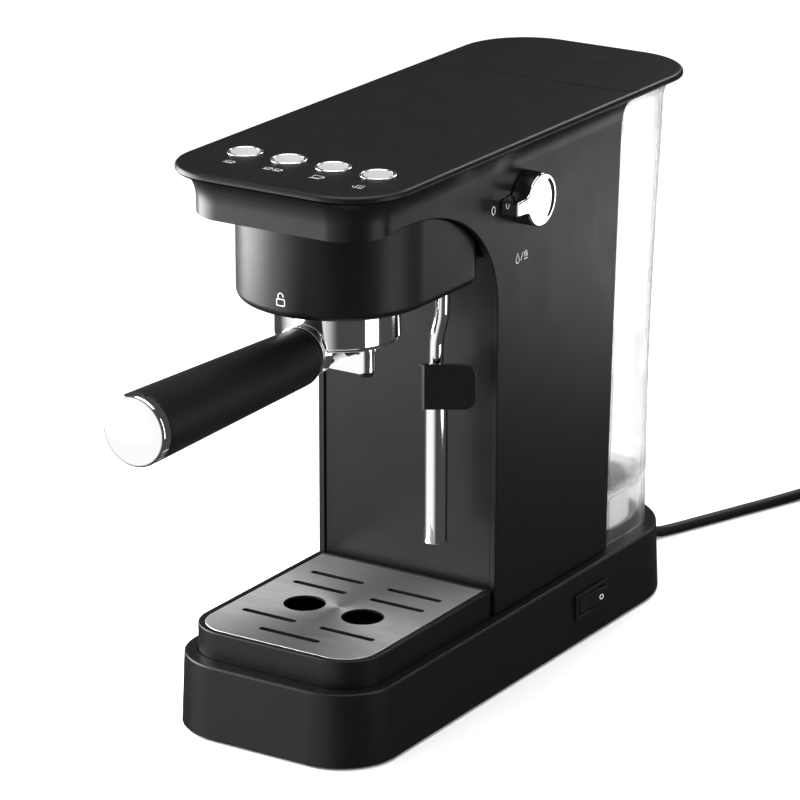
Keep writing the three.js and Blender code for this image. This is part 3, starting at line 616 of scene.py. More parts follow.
def make_base():
    low, high = base_z
    rise = [(DRAFT * (1 - i / 6), low + 0.8 + (high - 2.2 - low) * i / 6) for i in range(7)]
    sides = [(-DRAFT + 0.8, low)] + [(-grow, z) for grow, z in rise]
    sides += [(inset, z) for inset, z in edge(low, high, 0, 1.3, 6)][1:]
    base = slab("base_moulding", BASE_FORM, sides)
    hollow = tower(plan(BASE_FORM, WALL), -1, high - WALL)
    well = tower(plan(TRAY_FORM, -2.2), tray_z[0] - 2.3, high - 1)
    mouth = [(-0.4, tray_z[0] - 0.3), (-0.4, high - 0.5), (-0.55, high - 0.15), (-0.9, high),
             (-0.9, high + 1)]
    inside = slab("cutter", TRAY_FORM, mouth)
    cut(base, hollow)
    join(base, well)
    seat_hole = rod(8, 10, (0, middle(span("tank_seat")[1]), 35))
    passage = block((-42, 42), (BASE_Y - 24, BASE_Y + 78), (30, 50))
    socket = block((55, 70), (switch_y[0] + 1.5, switch_y[1] - 1.5),
                   (switch_z[0] + 1.3, switch_z[1] - 1.3))
    relief = span("strain_relief")
    outlet = rod(5.4, 20, (middle(relief[0]), base_y[1] - 12, middle(relief[2])), (0, 1, 0))
    cut(base, inside, seat_hole, passage, socket, outlet)
    fit(base, "housing", "black_housing", "machine", "base_shell")
    for i in range(1, 5):
        (x0, x1), _, (_, z1) = span(f"foot_{i}")
        r = (x1 - x0) / 2
        foot = lathe(f"foot_pad_{i}", [(0, 0.5), (r - 3, 0.5), (r - 3, 0), (r, 0), (r, z1), (0, z1)],
                     [0, 0.4, 0.4, 0.9, 0.4, 0], 4, foot_point(f"foot_{i}"), 40)
        fit(foot, "rubber", "rubber", "machine", f"foot_{i}")


def make_tray():
    low, high = tray_z
    rim = plate_z[1] - plate_z[0] + 0.5
    walls = edge(low, high, 1.2, 1.0, 6)
    inner = [(3.1, high), (3.5, high - 0.4), (3.5, high - rim), (6.2, high - rim), (6.2, low + 6)]
    inner += [(6.9, low + 3.4), (9.2, low + 2.1)]
    tray = slab("tray_moulding", TRAY_FORM, walls + inner)
    fit(tray, "housing", "black_housing", "drip_tray", "drip_tray")


SLOT_WIDTH = 4.0
SLOT_ROWS = (-62.95, -80.35, -129.25)
SLOTS = [(side * 24.7, row, 34.3) for row in SLOT_ROWS for side in (-1, 1)] + [(0, -146.65, 38)]
DRAIN_HOLE = {"x": 18.5, "y": -104.5, "r": 11.5}
# Size of the thin black sheets that paint shade on the walls of the plate's slots and holes.
SLOT_SHADE = {"gap": 0.03, "wall": 0.17}


def make_plate():
    """A steel sheet, with a thin black sheet inside each slot and hole: painted shade that darkens the
    slot's wall, as if the thin steel let the tray's dark inside show.
    """
    low, high = plate_z
    plate = slab("tray_cover", PLATE_FORM, edge(low, high, 0.15, 0.3))
    r = SLOT_WIDTH / 2
    outlines = [stadium(x, BASE_Y + y, length / 2 - r, r, 10) for x, y, length in SLOTS]
    hole_y = BASE_Y + DRAIN_HOLE["y"]
    outlines += [arc((side * DRAIN_HOLE["x"], hole_y), DRAIN_HOLE["r"], 0, 355, 71) for side in (-1, 1)]
    cut(plate, *[tower(outline, low - 2, high + 1) for outline in outlines])
    fit(plate, "steel", "brushed_steel", "drip_plate", "drip_plate", sharp=50)
    # Painted shade: a thin black sheet just inside the wall of each slot and hole.
    outside, inside = SLOT_SHADE["gap"], SLOT_SHADE["gap"] + SLOT_SHADE["wall"]
    top = high - SLOT_SHADE["gap"]
    walls = [(outside, low), (outside, top), (inside, top), (inside, low)]
    slot_shades = []
    for outline in outlines:
        loops = [level(shifted(outline, inset), z) for inset, z in walls]
        slot_shades.append(skin("plate_slot_shade", loops, closed=True))
    fit(join(slot_shades[0], *slot_shades[1:]), "inside", None, "drip_plate")


def make_switch():
    (x0, x1), (y0, y1), (z0, z1) = span("switch_housing")
    cy, cz = middle((y0, y1)), middle((z0, z1))

    def frame_loop(half_y, half_z, x, r):
        corners = [(cy - half_y, cz - half_z), (cy + half_y, cz - half_z),
                   (cy + half_y, cz + half_z), (cy - half_y, cz + half_z)]
        return upright(fillet(corners, r, 5), x)

    hy, hz = (y1 - y0) / 2, (z1 - z0) / 2
    sections = [(15.6, 6, x0, 0.5), (15.6, 6, x1 - 0.9, 0.5), (hy, hz, x1 - 0.9, 1.1),
                (hy, hz, x1 - 0.3, 1.1), (hy - 0.3, hz - 0.3, x1, 0.9), (14.6, 5.8, x1, 0.6),
                (14.3, 5.5, x1 - 0.4, 0.5), (14.05, 5.15, x1 - 1.2, 0.4), (14.05, 5.15, x0 + 8, 0.4)]
    frame_piece = skin("switch_frame", [frame_loop(*section) for section in sections])
    fit(frame_piece, "inside", "black_soft", "machine", "switch_housing")

    (rx0, rx1), (ry0, ry1), (rz0, rz1) = span("switch_rocker")
    front, rear = ry0 + 0.3, ry1 - 0.7
    side = fillet([(rx0 + 1.6, front), (rx1 - 3.0, front - 0.3), (rx1 - 3.6, cy - 1.5), (rx1, rear),
                   (rx1 - 4.7, rear + 0.7), (rx0, cy)], [0.3, 0.5, 6, 0.6, 0.4, 0.5], 6)
    walls = edge(rz0, rz1, 0.4, 0.4, 4)
    rocker = skin("switch_key", [level(shifted(side, inset), z) for inset, z in walls])
    fit(rocker, "inside", "black_soft", "power_rocker", "switch_rocker")
    return rx1, rear, cy, cz


# ---- housing ----

body_x, body_y, body_z = span("body_shell")
FLARE = 9.9
FLARE_FROM = 289
COLUMN_HALF = body_x[1] - FLARE
HOUSING_FORM = (COLUMN_HALF, body_y[0] + FLARE, BASE_Y + 130, 24.5, 1)
PANEL = {"thick": 2.4, "half": 53.1, "gap": 1}
COLUMN_FRONT = span("front_panel")[1][1] - PANEL["gap"] - PANEL["thick"]
BAND_BOTTOM = 281.5
ARCH_REACH = 92.6
ARCH_RISE = 70
ARCH_Z = 213
ARCH_POWER = 2.2
REAR_LEAN = (43, 250, 9.3, 1.4)
_, tank_y, tank_z = span("water_tank")
TANK_GAP = 0.8
lid_x, lid_front_y, lid_z = span("top_cover")
LID_FORM = (lid_x[1], lid_front_y[0], span("tank_lid")[1][1], 34.5, 41.3)
SEAM_Y = span("tank_lid")[1][0] - 0.25
GROUP_Y = middle(span("bayonet_ring")[1])


def housing_rear(z):
    """The rear face of the housing leans back towards the top."""
    return tank_y[0] - TANK_GAP + growth(z, *REAR_LEAN)


def arch(inset, steps=40):
    """(y, z) points of the arch under the upper housing, from its front foot to the column."""
    points = []
    for i in range(steps + 1):
        angle = math.pi / 2 * (1 - i / steps)
        y = COLUMN_FRONT - ARCH_REACH + (ARCH_REACH + inset) * abs(math.cos(angle)) ** (2 / ARCH_POWER)
        points.append((y, ARCH_Z + (ARCH_RISE + inset) * abs(math.sin(angle)) ** (2 / ARCH_POWER)))
    return points


def housing_side(inset, bottom, top):
    """The housing seen from its right side, smaller by inset."""
    heights = [bottom + (top - bottom) * i / 12 for i in range(13)]
    rear = [(housing_rear(z) - inset, z) for z in heights]
    front = HOUSING_FORM[1] - 1 + inset
    upper = [(front, top), (front, BAND_BOTTOM + inset)]
    return rear + upper + arch(inset) + [(COLUMN_FRONT + inset, bottom)]


def across(name, outline, half, r, steps=4):
    """A side outline from -half to half, with its two long edges rounded."""
    right = rounded_end(half, r, steps)
    left = [(-x, inset) for x, inset in right[::-1]]
    return skin(name, [upright(shifted(outline, inset), x) for x, inset in left + right])


def make_housing():
    bottom, top = body_z
    body = across("housing_moulding", housing_side(0, bottom, top), COLUMN_HALF, 0.9)
    walls = tower(plan(HOUSING_FORM, 0, 24), 0, top + 5)
    common(body, walls)
    count = 18
    spread = []
    for i in range(count + 1):
        t = math.sin(math.pi / 2 * i / count)
        spread.append((-FLARE * (1 - math.sqrt(max(1 - t * t, 0))),
                       FLARE_FROM + (top - FLARE_FROM) * t))
    flare = slab("cutter", HOUSING_FORM, spread, 24)
    behind = [(-200, 270), (housing_rear(270), 270), (housing_rear(290), 290), (housing_rear(310), 310),
              (-200, 310)]
    common(flare, crosswise(behind, -80, 80))
    join(body, flare)
    inner = COLUMN_HALF - WALL
    cavity = crosswise(housing_side(3, 30, 320), -inner, inner)
    common(cavity, tower(plan(HOUSING_FORM, WALL), 0, 330))
    ceiling = [p for p in arch(-2) if p[0] > BASE_Y - 60]
    ceiling += [(COLUMN_FRONT - 5, 20), (COLUMN_FRONT + 8, 20), (COLUMN_FRONT + 8, 250),
                (BASE_Y - 50, 275)]
    throat = crosswise(ceiling, -53.5, 53.5)
    neck = tower(head_outline(WALL + 1.5), BAND_BOTTOM - 60, top - 8)
    valve = rod(3.7, 12, (50, KNOB_Y, KNOB_Z), (1, 0, 0))
    mouth = [(BASE_Y - 140, top + 1), (BASE_Y - 134, top - 3.2), (BASE_Y - 80, top - 2.8),
             (BASE_Y - 20, top - 1.4), (BASE_Y - 14, top + 1)]
    gaps = [crosswise(mouth, side * (COLUMN_HALF + 2.5), side * (COLUMN_HALF + 20)) for side in (-1, 1)]
    cut(body, cavity, throat, neck, valve, *gaps)
    fit(body, "housing", "black_housing", "machine", "body_shell")


def make_panel():
    """The column's front, which bends forward with the arch between the side walls."""
    front, back = PANEL["gap"], PANEL["gap"] + PANEL["thick"]
    ends_at = BASE_Y - 39.6
    outer = [p for p in arch(front) if p[0] > ends_at][::-1]
    inner = [p for p in arch(back) if p[0] > ends_at]
    bottom = body_z[0]
    outline = [(COLUMN_FRONT + front, bottom)] + outer + inner + [(COLUMN_FRONT + back, bottom)]
    panel = across("column_panel", outline[::-1], PANEL["half"], 0.6)
    fit(panel, "housing", "black_housing", "machine", "front_panel")


head_x, head_y, head_z = span("head_cover")


def head_outline(inset):
    """The stadium of the group's cover, seen from above."""
    r, corner = head_x[1] - inset, 12 - inset / 2
    rear = head_y[1] - inset
    points = arc((r - corner, rear - corner), corner, 0, 90, 10)
    points += arc((corner - r, rear - corner), corner, 90, 180, 10)
    return points + arc((0, GROUP_Y), r, 180, 360, 48)


def make_head_cover():
    low = head_z[0]
    rounding = edge(low, 290, 4.6, 0, 9)
    cover = skin("group_cover", [level(head_outline(inset), z) for inset, z in rounding])
    under = arch(-0.6) + [(COLUMN_FRONT - 0.6, 200), (-200, 200), (-200, BAND_BOTTOM - 0.3),
                          (COLUMN_FRONT - ARCH_REACH - 8, BAND_BOTTOM - 0.3)]
    common(cover, crosswise(under, -60, 60))
    hollow = tower(head_outline(WALL), low + WALL, 300)
    hole = [(0, low - 3), (36.8, low - 3), (36.8, low), (36.2, low + 0.6), (36, low + 1.2),
            (36, low + 7), (0, low + 7)]
    mouth = turned("cutter", hole, (0, GROUP_Y, 0), steps=96)
    wand = span("wand_ball")
    wand_x, wand_y = middle(wand[0]), middle(wand[1])
    gap = block((wand_x - 4.6, wand_x + 11), (wand_y - 4.8, wand_y + 4.8), (low - 3, low + 5))
    cut(cover, hollow, mouth, gap)
    fit(cover, "housing", "black_housing", "machine", "head_cover")


def seam(shift):
    """Everything behind the seam in the lid, which curls back at its two ends."""
    y = SEAM_Y + shift
    right = [(50, y), (56.5, y + 0.7), (61.5, y + 2.9), (66, y + 6.6), (69, y + 9.5), (80, y + 12)]
    return fillet([(80, 260), (-80, 260)] + [(-x, h) for x, h in right[::-1]] + right, 0.01, 1)


def make_lid():
    low, high = lid_z
    front, rear = [slab(name, LID_FORM, edge(low, high, 0.7, 2.3, 7), 28)
                   for name in ("lid_front", "lid_rear")]
    cut(front, tower(seam(-0.5), 280, 330))
    hole = [(0, 300), (8.6, 300), (8.6, high - 0.9), (10, high - 0.9), (10, high + 2), (0, high + 2)]
    cut(front, *[turned("cutter", hole, foot_point(f"button_ring_{i}"), steps=64)
                 for i in range(1, 5)])
    common(rear, tower(seam(0.5), 280, 330))
    break_edges(front, 0.6, 50)
    break_edges(rear, 0.6, 50)
    fit(front, "lid", "black_lid", "machine", "top_cover")
    fit(rear, "lid", "black_lid", "tank_lid", "tank_lid")


def make_buttons():
    for i in range(1, 5):
        at = foot_point(f"button_ring_{i}")
        low, high = span(f"button_ring_{i}")[2]
        bezel = [(8.1, low), (8.35, low), (8.35, high - 1.5), (9.67, high - 1.5), (9.67, high - 0.5),
                 (8.9, high), (8.1, high - 0.5)]
        piece = lathe(f"button_bezel_{i}", bezel, [0, 0, 0, 0.1, 0.5, 0.5, 0.3], 5, at, 72, closed=True)
        fit(piece, "bezel", "chrome", "machine", f"button_ring_{i}")
        foot, top = span(f"button_{i}")[2]
        dish = [(6.6 * (1 - k / 8), top - 0.1 - 0.45 * math.sin(math.pi / 2 * k / 8)) for k in range(9)]
        profile = [(0, foot), (2.2, foot), (2.2, foot + 5.4), (7.8, foot + 5.4)]
        profile += [(7.8, top - 0.5), (7.6, top - 0.15), (7.2, top)] + dish
        key = turned(f"button_cap_{i}", profile, at, steps=72)
        fit(key, "pearl", "button_cap", f"button_{i}", f"button_{i}", sharp=50)


# ---- brewing group and portafilter ----

def sector(r0, r1, half, centre, low, high):
    """A slice of a ring about the group's axis, as wide as half degrees each side of centre."""
    outline = arc((0, GROUP_Y), r1, centre - half, centre + half, 24)
    outline += arc((0, GROUP_Y), r0, centre + half, centre - half, 24)
    return tower(outline, low, high)


def make_group():
    at = (0, GROUP_Y, 0)
    low, high = span("bayonet_ring")[2]
    lip = 34.1
    rim = [(lip + 0.4, low), (42.6, low), (43, low + 0.4), (43, high), (34.6, high), (34.6, high - 5),
           (38.2, high - 5), (38.2, low + 3.1), (lip, low + 3.1), (lip, low + 0.4)]
    ring = turned("bayonet", rim, at, steps=96, closed=True)
    cut(ring, sector(30, 38.2, 30, 0, 230, 240), sector(30, 38.2, 30, 180, 230, 240))
    fit(ring, "cast", "aluminium", "machine", "bayonet_ring")
    z0, z1 = span("shower_screen")[2]
    dish = [(3, z0 + 0.4), (24, z0), (26, z0), (26, z1), (24.8, z1), (24.8, z0 + 1.2), (3, z0 + 1.2)]
    screen = lathe("screen_disc", dish, [0, 0, 1, 0, 0, 0.5, 0], 4, at, 72, closed=True)
    holes = []
    for ring_r, count in ((8, 10), (13, 16), (18, 22)):
        for i in range(count):
            angle = 2 * math.pi * i / count
            x, y = ring_r * math.cos(angle), GROUP_Y + ring_r * math.sin(angle)
            holes.append(rod(0.8, 4, (x, y, z0 - 1), steps=8))
    cut(screen, *holes)
    fit(screen, "pressed", "brushed_steel", "machine", "shower_screen")
    z0, z1 = span("screen_screw")[2]
    screw = lathe("screen_bolt", [(0, z0), (5, z0), (5, z0 + 2), (2.6, z0 + 2), (2.6, z1), (0, z1)],
                  [0, 0.8, 0.2, 0, 0, 0], 4, at, 48)
    cut(screw, block((-4, 4), (GROUP_Y - 0.5, GROUP_Y + 0.5), (z0 - 1, z0 + 0.9)))
    fit(screw, "pressed", "brushed_steel", "machine", "screen_screw")


HANDLE_Z = middle(span("handle_grip")[2])
cup_z = span("portafilter_cup")[2]
CUP_BOTTOM = span("spout_arm")[2][1] + 0.3
CUP_RADIUS = 33.2


def along_handle(name, profile, steps=64, closed=False):
    """A piece turned about the handle's axis. Distances go forwards from the base's middle."""
    return turned(name, profile, (0, BASE_Y, HANDLE_Z), (0, -1, 0), steps, closed)


def make_portafilter():
    at = (0, GROUP_Y, 0)
    low, top = CUP_BOTTOM, cup_z[1]
    outside = [(0, low), (30.5, low), (32.7, low + 0.3), (32.9, low + 1.9), (CUP_RADIUS, low + 2.3),
               (CUP_RADIUS, top), (0, top)]
    cup = lathe("cup_body", outside, [0, 0.4, 1.1, 0.2, 0.2, 0.3, 0], 5, at, 96)
    reach = BASE_Y - GROUP_Y
    bar = [(0, reach + 12), (12, reach + 12), (12, 131.9), (11.8, 132.5), (0, 132.5)]
    neck = along_handle("cutter", fillet(bar, 0.1, 2, closed=False))
    parts = [k / 8 for k in range(9)]
    root = [(11.9 + 2.4 * (1 - ease(s, 0, 1)) ** 1.6, reach + 26.2 + 7 * s) for s in parts]
    swell = along_handle("cutter", [(0, reach + 19)] + root + [(0, reach + 33.2)])
    tang = along_handle("cutter", [(0, 132), (4, 132), (4, 159.4), (3.4, 160), (0, 160)], 24)
    ears = [sector(32, 37.6, 26, middle_angle, 240, top) for middle_angle in (0, 180)]
    join(cup, neck, swell, tang, *ears)
    inside = [(0, low + 2.9), (29, low + 4), (30.4, low + 5.5), (30.4, top + 1), (0, top + 1)]
    cut(cup, lathe("cutter", inside, [0, 2, 1, 0, 0], 5, at, 96), rod(3.5, 10, (0, GROUP_Y, low - 5)))
    break_edges(cup, 0.25, 55)
    fit(cup, "chrome", "chrome", "portafilter", "portafilter_cup")

    z0, z1 = span("filter_basket")[2]
    sheet = [(0, z0), (27, z0), (29.6, z0 + 3), (29.6, z1 - 0.8), (32.6, z1 - 0.8), (32.6, z1),
             (28.8, z1), (28.8, z0 + 3.4), (26.6, z0 + 0.8), (0, z0 + 0.8)]
    basket = lathe("basket", sheet, [0, 2, 1, 0.2, 0.3, 0.3, 0.4, 1, 2, 0], 4, at, 80)
    fit(basket, "pressed", "brushed_steel", "portafilter", "filter_basket")

    make_spouts()
    section = [(4.4, 132.9), (14.2, 132.9), (14.7, 133.2), (14.7, 133.7), (14.1, 134.05),
               (14.7, 134.4), (14.7, 134.9), (14.3, 135.2), (4.4, 135.2)]
    section = fillet(section, [0, 0.3, 0.2, 0.2, 0.2, 0.2, 0.2, 0.2, 0], 3)
    ferrule = along_handle("grip_ring", section, 72, closed=True)
    fit(ferrule, "chrome", "chrome", "portafilter", "handle_ferrule")
    make_grip()
    make_cap()


def make_cap():
    """The handle's end cap, with a round shoulder and a slightly domed face."""
    cap_y = span("handle_cap")[1]
    start, tip = BASE_Y - cap_y[1], BASE_Y - cap_y[0]
    r = span("handle_cap")[0][1]
    shoulder = [(r - 2 + 2 * math.cos(a), tip - 2.6 + 1.9 * math.sin(a)) for a in quarter(6)]
    dome = [((r - 2) * (1 - k / 8), tip - 0.7 * (1 - k / 8) ** 2) for k in range(1, 8)]
    cap = [(0, start), (r - 0.4, start), (r, start + 0.4)] + shoulder + dome + [(0, tip)]
    fit(along_handle("grip_cap", cap, 96), "chrome", "chrome", "portafilter", "handle_cap", sharp=30)


def make_grip():
    """The handle's grip. It swells towards its end, and its root hangs a little lower than
    the ring, with a round lower edge."""
    grip_y = span("handle_grip")[1]
    root, end = BASE_Y - grip_y[1], BASE_Y - grip_y[0]
    widest = span("handle_grip")[0][1]
    nose = 4.5
    stations = []
    for a in quarter(8):
        stations.append((root + nose * (1 - math.cos(a)), 13.3 + 1.9 * math.sin(a), -1.5 * math.sin(a)))
    for k in range(1, 25):
        t = k / 24
        stations.append((root + nose + (end - 0.7 - root - nose) * t, 15.2 + (widest - 15.2) * t,
                         -1.5 * (1 - t)))
    stations += [(end - 0.2, widest - 0.2, 0), (end, widest - 0.7, 0)]
    loops = [[(x, BASE_Y - s, HANDLE_Z + drop + z) for x, z in arc((0, 0), r, 0, 356.25, 95)]
             for s, r, drop in stations]
    grip = skin("grip", loops)
    bore = rod(4.4, 162 - root + 5, (0, BASE_Y - root + 5, HANDLE_Z), (0, -1, 0), 40)
    fit(cut(grip, bore), "grip", "grip_black", "portafilter", "handle_grip")


def make_spouts():
    """Two arms leave a post under the cup and thicken into the bosses over the nozzles."""
    (_, x1), (y0, y1), (z0, z1) = span("spout_arm")
    half_y = (y1 - y0) / 2
    spout_x = middle(span("spout_tip_right")[0])
    arm_top = [(6.4, z1), (6.4, z0 + 8.6), (9.5, z0 + 6.6), (13.5, z0 + 8.2), (18.5, z0 + 11.3),
               (x1, z0 + 13.6)]
    radii = [0, 1.6, 3.2, 12, 14, 1.2]
    side = [(-x1, z0), (x1, z0)] + arm_top[::-1] + [(-x, z) for x, z in arm_top]
    side = fillet(side, [0.8, 0.8] + radii[::-1] + radii, 6)
    outer = rounded_end(half_y, 0.8, 4)
    outer = [(-y, inset) for y, inset in outer[::-1]] + outer
    loops = [[(x, GROUP_Y + y, z) for x, z in shifted(side, -inset)] for y, inset in outer]
    arm = skin("spout_body", loops)
    common(arm, tower(stadium(0, GROUP_Y, x1 - half_y, half_y, 20), z0 - 2, z1 + 2))
    bores = [rod(2.8, 9, (k * spout_x, GROUP_Y, z0 - 1)) for k in (-1, 1)]
    cut(arm, *bores)
    break_edges(arm, 0.25, 50)
    fit(arm, "chrome", "chrome", "portafilter", "spout_arm")
    for side_name, k in (("left", -1), ("right", 1)):
        low, high = span(f"spout_tip_{side_name}")[2]
        nozzle = [(2.4, low), (3.8, low), (4.2, low + 0.6), (4.2, high), (2.4, high)]
        piece = lathe(f"nozzle_{side_name}", nozzle, [0.3, 0.4, 0.2, 0, 0], 4,
                      (k * spout_x, GROUP_Y, 0), 48, closed=True)
        fit(piece, "inside", "black_soft", "portafilter", f"spout_tip_{side_name}")


# ---- steam wand and knob ----

ball_x, ball_y, ball_z = span("wand_ball")
WAND_X, WAND_Y, WAND_Z = middle(ball_x), middle(ball_y), middle(ball_z)
sleeve_x, _, sleeve_z = span("wand_sleeve")
LOWER_X = middle(sleeve_x)


def make_wand():
    turns = [math.radians(-90 + 180 * i / 24) for i in range(25)]
    ball = [(6.5 * math.cos(a), WAND_Z + 6.5 * math.sin(a)) for a in turns]
    ball[0], ball[-1] = (0, WAND_Z - 6.5), (0, WAND_Z + 6.5)
    joint = turned("wand_joint", ball, (WAND_X, WAND_Y, 0), steps=48)
    fit(joint, "brass", "brass", "steam_wand", "wand_ball")
    top = span("wand_tube")[2][1]
    bends = [(WAND_X, top), (WAND_X, 221), (WAND_X - 0.3, 215), (LOWER_X + 1.8, 208.2),
             (LOWER_X + 0.3, 201.4), (LOWER_X, 196), (LOWER_X, 180), (LOWER_X, 100)]
    tube = pipe("wand_pipe", [(x, WAND_Y, z) for x, z in bends], 3.9)
    fit(tube, "chrome", "chrome", "steam_wand", "wand_tube")
    low, high = sleeve_z
    r = (sleeve_x[1] - sleeve_x[0]) / 2
    section = [(1.6, low), (r - 0.2, low), (r, low + 0.2), (r, high), (4.2, high), (4.2, low + 7.5),
               (1.6, low + 7.5)]
    sleeve = lathe("wand_nozzle", section, [0.3, 0.1, 0.1, 0.8, 0.3, 0, 0], 5, (LOWER_X, WAND_Y, 0), 64,
                   closed=True)
    fit(sleeve, "chrome", "chrome", "steam_wand", "wand_sleeve")
    make_clip()


def make_clip():
    """The wand's finger plate: a thin sheet in front of the sleeve, on a ring round it. Its
    left edge is folded forward and its right end has round corners."""
    z0, z1 = span("wand_grip")[2]
    left, right, back, front = -6.3, 21.1, 6.5, 8.5
    turn = math.radians(32.5)
    sideways = Vector((math.cos(turn), math.sin(turn), 0))
    forward = Vector((math.sin(turn), -math.cos(turn), 0))

    def at(u, w, z):
        point = Vector((LOWER_X, WAND_Y, 0)) + sideways * u + forward * w
        return (point.x, point.y, z)

    face = fillet([(left, z0), (right, z0), (right, z1), (left, z1)], [0.1, 6.7, 6.7, 0.1], 10)
    loops = [[at(u, w, z) for u, z in shifted(face, inset)]
             for inset, w in edge(back, front, 0.4, 0.4, 4)]
    plate = skin("wand_clip", loops)
    fold = fillet([(left, back), (left + 0.5, back + 1), (left, front), (left - 1.6, front + 1.2),
                   (left - 2.6, front - 0.5)], [0.1, 0.1, 0.1, 0.4, 0.4], 3)
    lip = skin("cutter", [[at(u, w, z) for u, w in shifted(fold, inset)]
                          for inset, z in edge(z0, z1, 0.3, 0.3, 3)])
    ridge = [(7.9, 8.2), (8.5, 8.2), (8.35, 8.8), (8.05, 8.8)]
    rib = skin("cutter", [[at(u, w, z) for u, w in ridge] for z in (z0 + 0.5, z1 - 0.5)])
    r = (sleeve_x[1] - sleeve_x[0]) / 2
    holder = rod(r + 2, 15, (LOWER_X, WAND_Y, z0 + 1.6), steps=48)
    join(plate, lip, rib, holder)
    cut(plate, rod(r + 0.3, z1 - z0 + 2, (LOWER_X, WAND_Y, z0 - 1), steps=48))
    fit(plate, "clip", "rubber", "steam_wand", "wand_grip")


knob_x, knob_y, knob_z = span("steam_knob")
KNOB_R = 14.5
KNOB_LEVER_WIDTH = 8.6
KNOB_Y = knob_y[1] - KNOB_R
KNOB_Z = middle(knob_z)


def knob_outline():
    """Head and lever in one outline of (y, z) points. The lever points to the front."""
    r, half = KNOB_R, KNOB_LEVER_WIDTH / 2
    tip = KNOB_Y - knob_y[0]
    start = math.degrees(math.asin((half + 2.6) / r))
    head = arc((0, 0), r, start - 180, 180 - start, 64)
    foot = -r * math.cos(math.radians(start))
    blend = [(foot - 0.8, half + 1.2), (foot - 2.2, half + 0.35), (foot - 4, half)]
    lever = fillet([blend[-1], (-tip, half - 0.4), (-tip, 0.4 - half), (blend[-1][0], -half)],
                   [0, 1.2, 1.2, 0], 6, closed=False)
    under = [(y, -z) for y, z in blend[:2]][::-1]
    outline = head + blend[:2] + lever + under
    return [(KNOB_Y + y, KNOB_Z + z) for y, z in outline]


def make_knob():
    x0, x1 = knob_x
    sides = [(x0, 0.3), (x0 + 0.3, 0)] + rounded_end(x1, 0.9, 5)
    knob = skin("knob_cap", [upright(shifted(knob_outline(), inset), x) for x, inset in sides])

    def crescent(r, angle, inner_r, inner_angle):
        outer = arc((KNOB_Y, KNOB_Z), r, -angle, angle, 24)
        return outer + arc((KNOB_Y - 3.8, KNOB_Z), inner_r, inner_angle, -inner_angle, 24)

    groove = crosswise(crescent(12.7, 56, 12.9, 51.5), x1 - 0.8, x1 + 2)
    cut(knob, groove, rod(3.3, 6, (x0 - 1, KNOB_Y, KNOB_Z), (1, 0, 0)))
    fit(knob, "chrome", "chrome", "steam_knob", "steam_knob")
    # Painted shade: a thin black crescent sheet set down inside the groove.
    shadow = crescent(12.6, 55.8, 13, 51)
    groove_shade = skin("knob_groove_shade", [upright(shadow, x) for x in (x1 - 0.79, x1 - 0.35)])
    fit(groove_shade, "inside", "black_soft", "steam_knob")


# ---- water tank ----

TANK_WALL = 2.2
TANK_FLOOR = 70
TANK_SWELL = (110, 170, 10.6, 1.6)


def tank_form(z, inset=0.0):
    """The tank's outline at a height. Its rear swells towards the top, and its sides flare as
    the housing's do."""
    rear = min(tank_y[1] - 10.8 + growth(z, *TANK_SWELL), tank_y[1])
    t = min(max((z - FLARE_FROM) / (body_z[1] - FLARE_FROM), 0), 0.999)
    spread = (FLARE - 0.6) * (1 - math.sqrt(1 - t * t))
    form = (COLUMN_HALF + spread, housing_rear(z) + TANK_GAP, rear, 2.5, 44 - spread * 3 / FLARE)
    return level(plan(form, inset, 16), z)


def make_tank():
    low, high = tank_z
    heights = [low + 0.6] + [low + (FLARE_FROM - low) * i / 16 for i in range(1, 17)]
    heights += [FLARE_FROM + (high - FLARE_FROM) * math.sin(math.pi / 2 * i / 9) for i in range(1, 10)]
    outside = [tank_form(low, 0.5)] + [tank_form(z) for z in heights]
    rim = [tank_form(high, TANK_WALL)]
    inner = [tank_form(z, TANK_WALL) for z in heights[::-1] if z < high - 1 and z > TANK_FLOOR + 9]
    dish = [tank_form(TANK_FLOOR + 6.4, TANK_WALL + 0.2), tank_form(TANK_FLOOR + 3.8, TANK_WALL + 1.5),
            tank_form(TANK_FLOOR + 2.6, TANK_WALL + 3.6), tank_form(TANK_FLOOR + 2.4, TANK_WALL + 6)]
    tank = skin("tank_body", outside + rim + inner + dish)
    under = skin("cutter", [tank_form(z, TANK_WALL) for z in (30, TANK_FLOOR)])
    valve_y = middle(span("tank_valve")[1])
    cut(tank, under, rod(8.4, 20, (0, valve_y, 60), steps=48))
    fit(tank, "clear", "clear_tank", "water_tank", "water_tank", sharp=45)
    chamber_form = (50.5, tank_y[0] + 10, valve_y + 24, 4, 38)
    outer = [level(plan(chamber_form, 0, 8), z) for z in (TANK_FLOOR - 0.2, 49)]
    inner = [level(plan(chamber_form, 1.6, 8), z) for z in (49, TANK_FLOOR - 0.2)]
    chamber = skin("tank_chamber", outer + inner, closed=True)
    fit(chamber, "frosted", "clear_tank", "water_tank")

    z0, z1 = span("tank_valve")[2]
    at = (0, valve_y, 0)
    floor = TANK_FLOOR + 2.4
    plug_line = [(0, z0), (8, z0), (8, floor + 0.3), (12, floor + 0.3), (12, floor + 2.2), (5, z1),
                 (0, z1)]
    valve = lathe("valve_plug", plug_line, [0, 0.8, 0, 0.3, 0.6, 1.2, 0], 4, at, 56)
    fit(valve, "silicone", "silicone", "water_tank", "tank_valve")
    z0, z1 = span("tank_seat")[2]
    deck = base_z[1]
    seat_line = [(0, z0), (4, z0), (4, 38.6), (7.6, 38.6), (7.6, deck + 0.3), (15, deck + 0.3),
                 (15, deck + 2.9), (9, deck + 4.3), (9, z1), (0, z1)]
    seat = lathe("valve_seat", seat_line, [0, 0, 0, 0, 0, 0.6, 0.6, 2, 1.2, 0], 4, at, 56)
    fit(seat, "silicone", "silicone", "machine", "tank_seat")


# ---- printed marks ----

INK = 0.08
STROKE = 0.32


